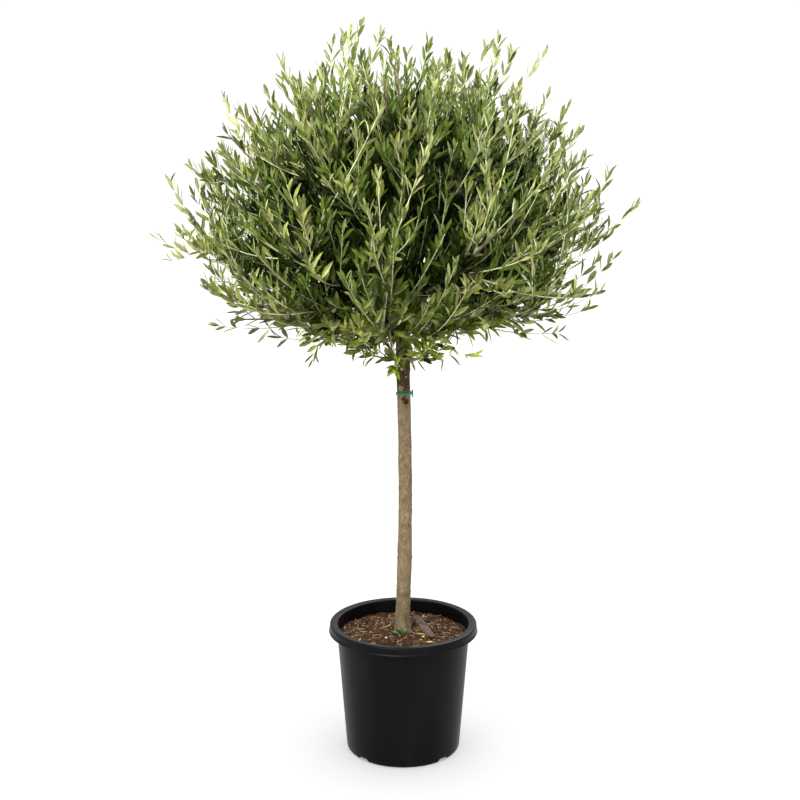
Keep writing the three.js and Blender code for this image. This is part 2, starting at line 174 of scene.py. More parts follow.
@dataclass
class Shoot:
    """A limb, a stem or a twig: a curve from a foot to a tip, drawn towards a point between them."""

    foot: Array
    bend: Array
    tip: Array
    steps: int = 1
    nudge = 1e-4
    steep = 0.9
    length_parts = 8

    def at(self, share: float | Array) -> Array:
        """Returns the place, or one row for each place, at a share or shares of the curve."""
        t = np.asarray(share, dtype=float)[..., None]
        return (1 - t) ** 2 * self.foot + 2 * t * (1 - t) * self.bend + t**2 * self.tip

    def tangent(self, share: float | Array) -> Array:
        """Returns the unit direction of growth at a share or shares of the curve."""
        t = np.asarray(share, dtype=float)
        return unit(self.at(np.minimum(t + self.nudge, 1.0)) - self.at(np.maximum(t - self.nudge, 0.0)))

    def side(self, share: float | Array, roll: float | Array) -> Array:
        """Returns the direction square to the curve at a share, at a roll about it in degrees."""
        tangent = self.tangent(share)
        chord = unit(self.tip - self.foot)
        across = unit(np.cross(tangent, RIGHT if abs(chord[2]) > self.steep else UP))
        turn = np.radians(np.asarray(roll, dtype=float))[..., None]
        return across * np.cos(turn) + np.cross(tangent, across) * np.sin(turn)

    def stretch(self, start: float, end: float, steps: int) -> "Shoot":
        """Returns the part of the curve between two shares, as a shoot of its own."""
        first = self.foot + (self.bend - self.foot) * start
        second = self.bend + (self.tip - self.bend) * start
        return Shoot(self.at(start), first + (second - first) * end, self.at(end), steps)

    def centre(self, share: float) -> Array:
        """Returns the place at a share of the curve's straight steps."""
        step = min(int(share * self.steps), self.steps - 1)
        start, end = self.at(step / self.steps), self.at((step + 1) / self.steps)
        return start + (end - start) * (share * self.steps - step)

    def lines(self) -> Array:
        """Returns the two ends of each of the curve's straight steps."""
        points = self.at(np.linspace(0, 1, self.steps + 1))
        return np.stack([points[:-1], points[1:]], axis=1)

    def length(self) -> float:
        """Returns the curve's length."""
        points = self.at(np.linspace(0, 1, self.length_parts + 1))
        return float(np.linalg.norm(np.diff(points, axis=0), axis=1).sum())


def distance_to_lines(point: Array, lines: Array) -> Array:
    """Returns how far a point is from each straight line, given as pairs of ends."""
    start, along = lines[:, 0], lines[:, 1] - lines[:, 0]
    share = np.clip(((point - start) * along).sum(1) / (along * along).sum(1), 0, 1)
    return np.linalg.norm(start + along * share[:, None] - point, axis=1)


# ---- Meshes and pieces ----


class Slot(Enum):
    """The kinds of surface that the tree has."""

    BARK = "bark"
    YOUNG_BARK = "young_bark"
    FOLIAGE = "foliage"
    COMPOST = "compost"
    POT = "pot_plastic"
    TIE = "tie_plastic"


CROWN_SLOTS = (Slot.YOUNG_BARK, Slot.FOLIAGE)


def linked(name: str, data: bpy.types.ID) -> Object:
    """Makes an object of a mesh, a lamp or a camera, and links it to the scene."""
    made = bpy.data.objects.new(name, data)
    bpy.context.scene.collection.objects.link(made)
    return made


def piece_from(name: str, vertices: Sequence, faces: Faces, finish: Material) -> Object:
    """Makes a smooth-shaded object at the origin.

    Args:
        name: The piece's name.
        vertices: Its corners.
        faces: Its faces, as rows of corner numbers.
        finish: The material of all its faces.

    Returns:
        The object, linked to the scene.
    """
    mesh = bpy.data.meshes.new(name)
    mesh.from_pydata(np.asarray(vertices).tolist(), [], [list(face) for face in faces])
    mesh.polygons.foreach_set("use_smooth", [True] * len(mesh.polygons))
    mesh.materials.append(finish)
    mesh.validate()
    return linked(name, mesh)


def settle(piece: Object, slot: Slot, *nodes: str) -> None:
    """Rides a finished piece on the body, puts it in the lamps' collection and, for a crown slot, in the
    crown's, logs its slot, and hides the nodes that it stands for.
    """
    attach(piece, BODY)
    LIT_BY_LAMPS.objects.link(piece)
    if slot in CROWN_SLOTS:
        CROWN.objects.link(piece)
    if nodes:
        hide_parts(*nodes)
    LOG.info("%s: %d faces, slot %s", piece.name, len(piece.data.polygons), slot.value)


def nodes_named(prefix: str) -> list[str]:
    """Returns the model's nodes whose names start so."""
    return [name for name in frame["nodes"] if name.startswith(prefix)]


def write_shell(shell: bmesh.types.BMesh, mesh: Mesh) -> None:
    """Turns a closed shell's faces outwards, writes it to a mesh and frees it."""
    bmesh.ops.recalc_face_normals(shell, faces=shell.faces)
    shell.to_mesh(mesh)
    shell.free()


def ring_faces(rings: int, sides: int) -> Faces:
    """Joins rings of corners into a closed form.

    Args:
        rings: How many rings there are, numbered from the foot up.
        sides: The corners of each. The foot's centre and then the top's are numbered after the last ring.

    Returns:
        The faces, as rows of corner numbers.
    """
    foot, top = rings * sides, rings * sides + 1
    last = foot - sides
    faces: Faces = []
    for j in range(sides):
        k = (j + 1) % sides
        faces.append((foot, k, j))
        for row in range(0, last, sides):
            faces.append((row + j, row + k, row + sides + k, row + sides + j))
        faces.append((last + j, last + k, top))
    return faces


def turned(profile: Sequence[Pair], sides: int) -> tuple[Array, Faces]:
    """Turns a profile of (radius, height) about the Z axis into a closed form.

    Args:
        profile: Points that run anticlockwise, the first and the last on the axis.
        sides: How many times each point is repeated round the axis.

    Returns:
        The form's corners and its faces.
    """
    angles = np.arange(sides) * 2 * math.pi / sides
    rings = [
        np.stack([radius * np.cos(angles), radius * np.sin(angles), np.full(sides, height)], axis=1)
        for radius, height in profile[1:-1]
    ]
    vertices = np.concatenate([*rings, [[0, 0, profile[0][1]], [0, 0, profile[-1][1]]]])
    return vertices, ring_faces(len(rings), sides)


def arc(centre: Pair, radius: float, start: float, end: float, count: int) -> list[tuple]:
    """Returns points of an arc about a centre, from one angle to another in degrees."""
    angles = np.radians(np.linspace(start, end, count))
    return [(centre[0] + radius * math.cos(a), centre[1] + radius * math.sin(a)) for a in angles]


# ---- Node trees, and the forms that they make ----


class Nodes:
    """A node tree in the making."""

    def __init__(self, tree: Tree) -> None:
        """Takes the tree."""
        self.tree = tree

    def feed(self, node: Node, links: dict[str | int, object]) -> None:
        """Feeds inputs, by name or number, from a node's first output, a socket or a plain value."""
        for key, source in links.items():
            if isinstance(source, Node):
                source = source.outputs[0]
            if isinstance(source, Socket):
                self.tree.links.new(source, node.inputs[key])
            else:
                node.inputs[key].default_value = source

    def add(self, kind: str, links: dict[str | int, object], **settings: object) -> Node:
        """Adds a node.

        Args:
            kind: The node's type name.
            links: What feeds each of its inputs.
            settings: The node's own options.

        Returns:
            The node.
        """
        node = self.tree.nodes.new(kind)
        for option, value in settings.items():
            setattr(node, option, value)
        self.feed(node, links)
        return node


class Graph(Nodes):
    """A Geometry Nodes tree in the making, with named inputs."""

    def __init__(self, name: str, **inputs: str) -> None:
        """Starts a tree that takes a geometry and named inputs, each of a socket kind such as Float."""
        super().__init__(bpy.data.node_groups.new(name, "GeometryNodeTree"))
        self.tree.interface.new_socket("Geometry", in_out="OUTPUT", socket_type="NodeSocketGeometry")
        for title, kind in {"Geometry": "Geometry", **inputs}.items():
            self.tree.interface.new_socket(title, in_out="INPUT", socket_type=f"NodeSocket{kind}")
        self.entry = self.tree.nodes.new("NodeGroupInput")
        self.exit = self.tree.nodes.new("NodeGroupOutput")

    def given(self, name: str) -> Socket:
        """Returns what is given to a named input."""
        return self.entry.outputs[name]

    def attribute(self, name: str, kind: str) -> Node:
        """Reads a named attribute of a data type, such as FLOAT."""
        return self.add("GeometryNodeInputNamedAttribute", {"Name": name}, data_type=kind)

    def copies(self, turn: Node, **links: object) -> Node:
        """Puts one of the given Forms on each point, at a turn of three angles, and makes the copies real."""
        forms = {"Collection": self.given("Forms"), "Separate Children": True, "Reset Children": True}
        placed = self.add(
            "GeometryNodeInstanceOnPoints",
            {
                "Instance": self.add("GeometryNodeCollectionInfo", forms),
                "Pick Instance": True,
                "Rotation": self.add("FunctionNodeEulerToRotation", {0: turn}),
                **{key.replace("_", " "): source for key, source in links.items()},
            },
        )
        return self.add("GeometryNodeRealizeInstances", {"Geometry": placed})

    def painted(self, last: Node, finish: str, **where: Node) -> Node:
        """Sets a given material on a node's geometry: on all of it, or on a Selection."""
        links = {"Geometry": last, "Material": self.given(finish), **where}
        return self.add("GeometryNodeSetMaterial", links)

    def ends(self, last: Node) -> Tree:
        """Gives a node's geometry out, and returns the finished tree."""
        self.tree.links.new(last.outputs[0], self.exit.inputs[0])
        return self.tree


SCRATCH_ATTRIBUTES = ("turn", "size", "form", "thickness", "underside")


def grown(piece: Object, tree: Tree, inputs: dict[str, object]) -> Object:
    """Runs a tree on an object and keeps the result as its plain mesh.

    Args:
        piece: The object whose mesh the tree starts from.
        tree: The Geometry Nodes tree.
        inputs: A value for each of the tree's named inputs.

    Returns:
        The same object, with the result as its mesh, no modifier and none of the trees' attributes.
    """
    modifier = piece.modifiers.new("grow", "NODES")
    modifier.node_group = tree
    for item in tree.interface.items_tree:
        if item.in_out == "INPUT" and item.name in inputs:
            modifier[item.identifier] = inputs[item.name]
    graph = bpy.context.evaluated_depsgraph_get()
    mesh = bpy.data.meshes.new_from_object(piece.evaluated_get(graph), depsgraph=graph)
    seed_mesh = piece.data
    piece.modifiers.clear()
    piece.data = mesh
    mesh.name = piece.name
    bpy.data.meshes.remove(seed_mesh)
    for name in SCRATCH_ATTRIBUTES:
        if name in mesh.attributes:
            mesh.attributes.remove(mesh.attributes[name])
    return piece


def tube_tree() -> Tree:
    """Returns a tree that turns each line of a mesh into a round tube with closed ends."""
    graph = Graph("tubes_along_lines", Sides="Int", Thicken="Float", Finish="Material")
    lines = graph.add("GeometryNodeMeshToCurve", {"Mesh": graph.given("Geometry")})
    ring = {"Resolution": graph.given("Sides"), "Radius": FULL_SIZE}
    ring = graph.add("GeometryNodeCurvePrimitiveCircle", ring)
    width = {0: graph.attribute("thickness", "FLOAT"), 1: graph.given("Thicken")}
    width = graph.add("ShaderNodeMath", width, operation="MULTIPLY")
    links = {"Curve": lines, "Profile Curve": ring, "Scale": width, "Fill Caps": True}
    hollow = graph.add("GeometryNodeCurveToMesh", links)
    real = graph.add("GeometryNodeRealizeInstances", {"Geometry": hollow})
    smooth = graph.add("GeometryNodeSetShadeSmooth", {"Geometry": real, "Shade Smooth": True})
    return graph.ends(graph.painted(smooth, "Finish"))


def scatter_tree() -> Tree:
    """Returns a tree that puts one of several forms on each point, turned and sized by its attributes."""
    graph = Graph("forms_on_points", Forms="Collection", Scale="Float", Upper="Material", Lower="Material")
    size = {0: graph.attribute("size", "FLOAT_VECTOR"), "Scale": graph.given("Scale")}
    real = graph.copies(
        graph.attribute("turn", "FLOAT_VECTOR"),
        Points=graph.given("Geometry"),
        Instance_Index=graph.attribute("form", "INT"),
        Scale=graph.add("ShaderNodeVectorMath", size, operation="SCALE"),
    )
    upper = graph.painted(real, "Upper")
    return graph.ends(graph.painted(upper, "Lower", Selection=graph.attribute("underside", "BOOLEAN")))


def crumb_tree(least_rise: float = 0.35, tilt: float = 0.7) -> Tree:
    """Returns a tree that strews forms over the upward faces of a mesh, at random turns and sizes."""
    sizes = {"Density": "Float", "Smallest": "Float", "Largest": "Float"}
    graph = Graph("crumbs_on_faces", Forms="Collection", **sizes, Seed="Int", Finish="Material")
    seed, density = graph.given("Seed"), graph.given("Density")
    normal = graph.add("ShaderNodeSeparateXYZ", {0: graph.add("GeometryNodeInputNormal", {})})
    level = graph.add("ShaderNodeMath", {0: normal.outputs["Z"], 1: least_rise}, operation="GREATER_THAN")
    links = {"Mesh": graph.given("Geometry"), "Selection": level, "Density": density, "Seed": seed}
    points = graph.add("GeometryNodeDistributePointsOnFaces", links)
    links = {0: (-tilt, -tilt, 0.0), 1: (tilt, tilt, 2 * math.pi), "Seed": seed}
    turn = graph.add("FunctionNodeRandomValue", links, data_type="FLOAT_VECTOR")
    links = {2: graph.given("Smallest"), 3: graph.given("Largest"), "Seed": seed}
    size = graph.add("FunctionNodeRandomValue", links, data_type="FLOAT")
    real = graph.copies(turn, Points=points, Scale=size.outputs[1])
    return graph.ends(graph.painted(real, "Finish"))


def mark_points(mesh: Mesh, name: str, kind: str, values: Array) -> None:
    """Adds an attribute of a data type to a mesh's points."""
    key = "vector" if kind == "FLOAT_VECTOR" else "value"
    mesh.attributes.new(name, kind, "POINT").data.foreach_set(key, values.ravel())


@dataclass
class Strand:
    """A line that becomes a round tube: its points and the radius at each."""

    points: Array
    radii: Array


def tubes(name: str, strands: Sequence[Strand], sides: int, finish: Material) -> Object:
    """Makes one piece of round tubes along strands.

    Args:
        name: The piece's name.
        strands: The lines and their radii.
        sides: The faces round each tube.
        finish: The tubes' material.

    Returns:
        The piece, as a plain mesh.
    """
    edges: list[tuple[int, int]] = []
    first = 0
    for strand in strands:
        count = len(strand.points)
        edges += [(first + i, first + i + 1) for i in range(count - 1)]
        first += count
    mesh = bpy.data.meshes.new(name)
    mesh.from_pydata(np.concatenate([strand.points for strand in strands]).tolist(), edges, [])
    mark_points(mesh, "thickness", "FLOAT", np.concatenate([strand.radii for strand in strands]))
    return grown(linked(name, mesh), tube_tree(), {"Sides": sides, "Thicken": FULL_SIZE, "Finish": finish})


@dataclass
class Placing:
    """Where each copy of some forms goes: its place, its three axes, its size along them, and its form."""

    places: Array
    axes: Array
    sizes: Array
    forms: Array

    def turns(self) -> Array:
        """Returns each copy's turn as three angles about X, Y and Z."""
        x, y, z = self.axes[:, 0], self.axes[:, 1], self.axes[:, 2]
        about_x = np.arctan2(y[:, 2], z[:, 2])
        about_y = np.arcsin(np.clip(-x[:, 2], -1, 1))
        about_z = np.arctan2(x[:, 1], x[:, 0])
        return np.stack([about_x, about_y, about_z], axis=1)

    def taking(self, rows: Array) -> "Placing":
        """Returns some of the copies."""
        return Placing(self.places[rows], self.axes[rows], self.sizes[rows], self.forms[rows])

    def by_height(self) -> "Placing":
        """Returns the copies from the lowest to the highest."""
        return self.taking(np.argsort(self.places[:, 2]))


def joined_placings(placings: Iterable[Placing]) -> Placing:
    """Returns several placings as one."""
    parts = list(placings)
    columns = ([getattr(part, item.name) for part in parts] for item in fields(Placing))
    return Placing(*(np.concatenate(column) for column in columns))


def scattered(
    name: str, placing: Placing, forms: Collection, upper: Material, lower: Optional[Material] = None
) -> Object:
    """Makes one piece of many copies of some forms.

    Args:
        name: The piece's name.
        placing: Where each copy goes.
        forms: The forms, in a collection.
        upper: The material of the copies.
        lower: The material of their undersides, where it differs.

    Returns:
        The piece, as a plain mesh.
    """
    mesh = bpy.data.meshes.new(name)
    mesh.from_pydata(placing.places.tolist(), [], [])
    mark_points(mesh, "turn", "FLOAT_VECTOR", placing.turns())
    mark_points(mesh, "size", "FLOAT_VECTOR", placing.sizes)
    mark_points(mesh, "form", "INT", placing.forms.astype(np.int32))
    inputs = {"Forms": forms, "Scale": FULL_SIZE, "Upper": upper, "Lower": lower or upper}
    return grown(linked(name, mesh), scatter_tree(), inputs)


def form_collection(name: str, meshes: Sequence[Mesh]) -> Collection:
    """Returns a collection with an object for each mesh, in order, outside the scene."""
    forms = bpy.data.collections.new(name)
    for i, mesh in enumerate(meshes):
        forms.objects.link(bpy.data.objects.new(f"{name}_{i:02d}", mesh))
    return forms


def clear_forms(forms: Collection) -> None:
    """Removes a collection of forms that has served."""
    for form in list(forms.objects):
        bpy.data.objects.remove(form)
    bpy.data.collections.remove(forms)


# ---- Finishes ----


@dataclass(frozen=True)
class Grain:
    """Noise in a piece's own space: lumps to a metre, finer layers, stretch along each axis, roughness."""

    scale: float
    detail: float = 3.0
    stretch: Triple = (1.0, 1.0, 1.0)
    rough: float = 0.55


@dataclass(frozen=True)
class Band:
    """Brings values from the range low to high into the range start to end, and holds them there."""

    low: float
    high: float
    start: float = 0.0
    end: float = 1.0

    def into(self, start: float, end: float) -> "Band":
        """Returns the band of the same values with another result."""
        return Band(self.low, self.high, start, end)


MOST_NOISE = Band(0.3, 0.7)


class Paint(Nodes):
    """A material in the making: one surface shader and what feeds its colour, roughness and relief."""

    def __init__(self, name: str) -> None:
        """Starts a material with a surface shader."""
        self.material = bpy.data.materials.new(name)
        self.material.use_nodes = True
        super().__init__(self.material.node_tree)
        self.shader = next(node for node in self.tree.nodes if node.type == "BSDF_PRINCIPLED")
        self.place = self.add("ShaderNodeTexCoord", {}).outputs["Object"]

    def put(self, name: str, value: object) -> None:
        """Sets one of the shader's inputs, or joins a socket to it."""
        self.feed(self.shader, {name: value})

    def noise(self, grain: Grain) -> Socket:
        """Returns a grain's noise, from 0 to 1."""
        mapping = self.add("ShaderNodeMapping", {"Vector": self.place, "Scale": grain.stretch})
        links = {"Vector": mapping, "Scale": grain.scale, "Detail": grain.detail, "Roughness": grain.rough}
        return self.add("ShaderNodeTexNoise", links).outputs["Fac"]

    def height(self) -> Socket:
        """Returns the height above the origin."""
        return self.add("ShaderNodeSeparateXYZ", {0: self.place}).outputs["Z"]

    def distance(self, place: Sequence[float], ragged: Socket, amount: float) -> Socket:
        """Returns how far off a place is, with noise added to it so that its outline is ragged."""
        away = self.add("ShaderNodeVectorMath", {0: self.place, 1: place}, operation="DISTANCE")
        uneven = self.ramp(ragged, MOST_NOISE.into(-0.5 * amount, 0.5 * amount))
        return self.add("ShaderNodeMath", {0: away.outputs["Value"], 1: uneven}).outputs[0]

    def ramp(self, value: Socket, band: Band) -> Socket:
        """Returns a value brought through a band."""
        ends = dict(zip(("From Min", "From Max", "To Min", "To Max"), astuple(band)))
        return self.add("ShaderNodeMapRange", {"Value": value, **ends}).outputs["Result"]

    def blend(self, share: Socket, first: Colour | Socket, second: Colour | Socket) -> Socket:
        """Returns a mix of two colours."""
        first, second = (c if isinstance(c, Socket) else (*c, 1.0) for c in (first, second))
        return self.add("ShaderNodeMix", {0: share, 6: first, 7: second}, data_type="RGBA").outputs[2]

    def relief(self, height: Socket, depth: float, strength: float = 1.0) -> None:
        """Adds a bump of a real depth under whatever relief there is."""
        earlier = self.shader.inputs["Normal"].links
        under = {"Normal": earlier[0].from_socket} if earlier else {}
        links = {"Height": height, "Distance": depth, "Strength": strength, **under}
        self.put("Normal", self.add("ShaderNodeBump", links).outputs["Normal"])


@dataclass(frozen=True)
class MatFinish:
    """A surface of two colours in patches with a fine relief, rough by the patches or by its own noise."""

    name: str
    light: Colour
    dark: Colour
    patches: Grain
    share: Band
    roughness: Band
    specular: float
    grain: Grain
    depth: float
    strength: float = 1.0
    satin: Optional[Grain] = None

    def material(self) -> Material:
        """Returns the material."""
        paint = Paint(self.name)
        patches = paint.noise(self.patches)
        satin = paint.noise(self.satin) if self.satin else patches
        paint.put("Base Color", paint.blend(paint.ramp(patches, self.share), self.dark, self.light))
        paint.put("Roughness", paint.ramp(satin, self.roughness))
        paint.put("Specular IOR Level", self.specular)
        paint.relief(paint.noise(self.grain), self.depth, self.strength)
        return paint.material


@dataclass(frozen=True)
class LeafFinish:
    """A leaf's two sides: satin and green above, silvery and matt below, both a little uneven."""

    upper: Colour
    lower: Colour
    vary: float = 0.36
    roughness: float = 0.42
    specular: float = 0.14
    lower_roughness: float = 0.75
    lower_shine: float = 0.4
    patches: Grain = Grain(48, 2)
    share: Band = Band(0.34, 0.66)
    satin: Grain = Grain(240, 2)
    pores: Grain = Grain(900, 2)
    pore_depth: float = 0.15 * MM

    def side(self, name: str, colour: Colour, roughness: float, specular: float) -> Material:
        """Returns the material of one side."""
        dark = tuple(channel * (1 - self.vary) for channel in colour)
        light = tuple(min(channel * (1 + self.vary), 1.0) for channel in colour)
        uneven = MOST_NOISE.into(roughness - 0.06, roughness + 0.08)
        base = (name, light, dark, self.patches, self.share, uneven, specular)
        return MatFinish(*base, self.pores, self.pore_depth, 0.5, self.satin).material()

    def sides(self, name: str) -> tuple[Material, Material]:
        """Returns the materials of the upper and the lower side."""
        return (
            self.side(f"{name}_upper", self.upper, self.roughness, self.specular),
            self.side(f"{name}_lower", self.lower, self.lower_roughness, self.specular * self.lower_shine),
        )


@dataclass(frozen=True)
class Patch:
    """A spot of another colour on the bark."""

    place: Triple
    radius: float
    colour: Colour
    hard: float = 0.8
    soft: float = 1.05

    def band(self) -> Band:
        """Returns how much of the patch shows by the distance from its place."""
        return Band(self.radius * self.soft, self.radius * self.hard)


@dataclass(frozen=True)
class BarkFinish:
    """The trunk's bark: pale and mottled, greener at the foot, with painted shade above the tie where the
    crown shades it, and a few old marks.
    """

    pale: Colour = (0.270, 0.205, 0.122)
    tan: Colour = (0.135, 0.096, 0.050)
    moss: Colour = (0.120, 0.096, 0.042)
    # dark and shade are painted shade: the crown's shadow on the trunk above the tie
    dark: Colour = (0.030, 0.018, 0.008)
    shade: Colour = (0.090, 0.060, 0.030)
    fleck: Colour = (0.40, 0.33, 0.23)
    pit: Colour = (0.045, 0.030, 0.014)
    # the painted shade starts at this height, with a soft edge of this half width
    dark_above: float = 0.838
    dark_edge: float = 4 * MM
    mottle: Grain = Grain(110, 6, (1, 1, 0.45), 0.68)
    streaks: Grain = Grain(300, 5, (1, 1, 0.14), 0.62)
    rings: Grain = Grain(170, 4, (0.35, 0.35, 2.0), 0.6)
    fine: Grain = Grain(620, 4, (1, 1, 0.5), 0.6)
    mosses: Grain = Grain(60, 4, (1, 1, 0.6))
    flecks: Grain = Grain(300, 2, (1, 1, 0.7))
    ragged: Grain = Grain(260, 3)
    mottle_band: Band = Band(0.36, 0.62)
    foot_band: Band = Band(0.30, 0.62, 0.8, 0.0)
    moss_band: Band = Band(0.35, 0.65)
    shade_band: Band = Band(0.35, 0.64)
    pit_band: Band = Band(0.60, 0.36, 0.0, 0.5)
    ring_band: Band = Band(0.36, 0.26, 0.0, 0.6)
    fleck_band: Band = Band(0.64, 0.72, 0.0, 0.8)
    roughness: Band = MOST_NOISE.into(0.78, 0.95)
    specular: float = 0.12
    mottle_depth: float = 0.7 * MM
    streak_depth: float = 0.35 * MM
    ring_depth: float = 0.5 * MM
    fine_depth: float = 0.35 * MM
    patches: tuple[Patch, ...] = (
        Patch((0.000, -0.017, 0.8215), 6.0 * MM, (0.060, 0.026, 0.010)),
        Patch((0.006, -0.016, 0.8150), 6.5 * MM, (0.036, 0.018, 0.009)),
        Patch((-0.006, -0.015, 0.8460), 6.5 * MM, (0.230, 0.170, 0.095)),
        Patch((-0.003, -0.016, 0.8890), 4.0 * MM, (0.420, 0.330, 0.250)),
        Patch((0.0055, -0.014, 0.8700), 1.8 * MM, (0.450, 0.400, 0.330)),
        Patch((0.0020, -0.016, 0.9080), 1.6 * MM, (0.450, 0.400, 0.330)),
        Patch((-0.003, -0.018, 0.3760), 6.0 * MM, (0.300, 0.190, 0.130)),
        Patch((0.0100, -0.013, 0.5550), 7.0 * MM, (0.270, 0.180, 0.120)),
    )

    def colour(self, paint: Paint, mottle: Socket, rings: Socket, fine: Socket) -> Socket:
        """Returns the bark's colour from its three main noises, with painted shade above the tie."""
        colour = paint.blend(paint.ramp(mottle, self.mottle_band), self.tan, self.pale)
        mossy = paint.blend(paint.ramp(paint.noise(self.mosses), self.moss_band), self.moss, self.pale)
        colour = paint.blend(paint.ramp(paint.height(), self.foot_band), colour, mossy)
        # painted shade: above the tie the bark is mixed from the dark and shade colours
        edge = Band(self.dark_above - self.dark_edge, self.dark_above + self.dark_edge)
        shaded = paint.blend(paint.ramp(mottle, self.shade_band), self.dark, self.shade)
        colour = paint.blend(paint.ramp(paint.height(), edge), colour, shaded)
        colour = paint.blend(paint.ramp(fine, self.pit_band), colour, self.pit)
        colour = paint.blend(paint.ramp(rings, self.ring_band), colour, self.pit)
        colour = paint.blend(paint.ramp(paint.noise(self.flecks), self.fleck_band), colour, self.fleck)
        ragged = paint.noise(self.ragged)
        for patch in self.patches:
            away = paint.distance(patch.place, ragged, patch.radius)
            colour = paint.blend(paint.ramp(away, patch.band()), colour, patch.colour)
        return colour

    def material(self) -> Material:
        """Returns the material."""
        paint = Paint("bark")
        mottle, rings, fine = paint.noise(self.mottle), paint.noise(self.rings), paint.noise(self.fine)
        paint.put("Base Color", self.colour(paint, mottle, rings, fine))
        paint.put("Roughness", paint.ramp(fine, self.roughness))
        paint.put("Specular IOR Level", self.specular)
        paint.relief(mottle, self.mottle_depth)
        paint.relief(paint.noise(self.streaks), self.streak_depth)
        paint.relief(rings, self.ring_depth)
        paint.relief(fine, self.fine_depth)
        return paint.material


def wood(name: str, light: Colour, dark: Colour) -> MatFinish:
    """Returns the finish of young bark on a limb, a twig or a shoot."""
    share, roughness = Band(0.35, 0.65), MOST_NOISE.into(0.6, 0.8)
    return MatFinish(name, light, dark, Grain(130, 4), share, roughness, 0.3, Grain(600, 3), 0.3 * MM)


def plastic(name: str, dusty: Colour, colour: Colour, roughness: float, specular: float) -> MatFinish:
    """Returns the finish of moulded plastic, with faint flow marks in its dusty colour and a fine grain."""
    marks, share = Grain(14, 4, (1, 1, 0.25)), Band(0.45, 0.8)
    uneven = MOST_NOISE.into(roughness - 0.05, roughness + 0.07)
    return MatFinish(name, dusty, colour, marks, share, uneven, specular, Grain(1600, 2), 0.05 * MM, 0.6)


def mulch(name: str, light: Colour, dark: Colour, scale: float = 90.0) -> MatFinish:
    """Returns the finish of damp bark, wood or peat, rough and uneven, with so many patches to a metre."""
    share, roughness = Band(0.38, 0.64), MOST_NOISE.into(0.82, 0.97)
    patches, grain = Grain(scale, 5, rough=0.65), Grain(scale * 6, 4)
    return MatFinish(name, light, dark, patches, share, roughness, 0.06, grain, 0.8 * MM)


# ---- Trunk ----


@dataclass(frozen=True)
class Scar:
    """A mark on the trunk, where a shoot was cut away: a raised lip round a hollow."""

    height: float
    azimuth: float
    radius: float
    lift: float
    hollow: float
    squat: float = 0.8
    lip_at: float = 0.9
    lip_fade: float = 3.2
    lip_end: float = 3.0
    hollow_fade: float = 3.5

    def relief(self, angles: Array, heights: Array, radii: Array) -> Array:
        """Returns how far the scar raises each spot of a trunk of those radii."""
        sideways = (angles - math.radians(self.azimuth) + math.pi) % (2 * math.pi) - math.pi
        away = np.hypot(sideways * radii, (heights - self.height) * self.squat) / self.radius
        lip = self.lift * np.exp(-((away - self.lip_at) ** 2) * self.lip_fade) * (away < self.lip_end)
        return lip - self.hollow * np.exp(-(away**2) * self.hollow_fade)


@dataclass(frozen=True)
class Ridges:
    """One layer of the bark's lumps: their height, how many to the girth and to a metre, and the seed."""

    height: float
    around: float
    along: float
    seed: int

    def field(self, angles: Array, heights: Array) -> Array:
        """Returns the layer's lumps, from -1 to 1, at each angle and height."""
        places = [np.cos(angles) * self.around, np.sin(angles) * self.around, heights * self.along]
        return lumps(np.stack(places, axis=1) + 50, self.seed)


@dataclass(frozen=True)
class Ring:
    """A band round the trunk that stands out, or lies deeper where its lift is below nought."""

    height: float
    width: float
    lift: float


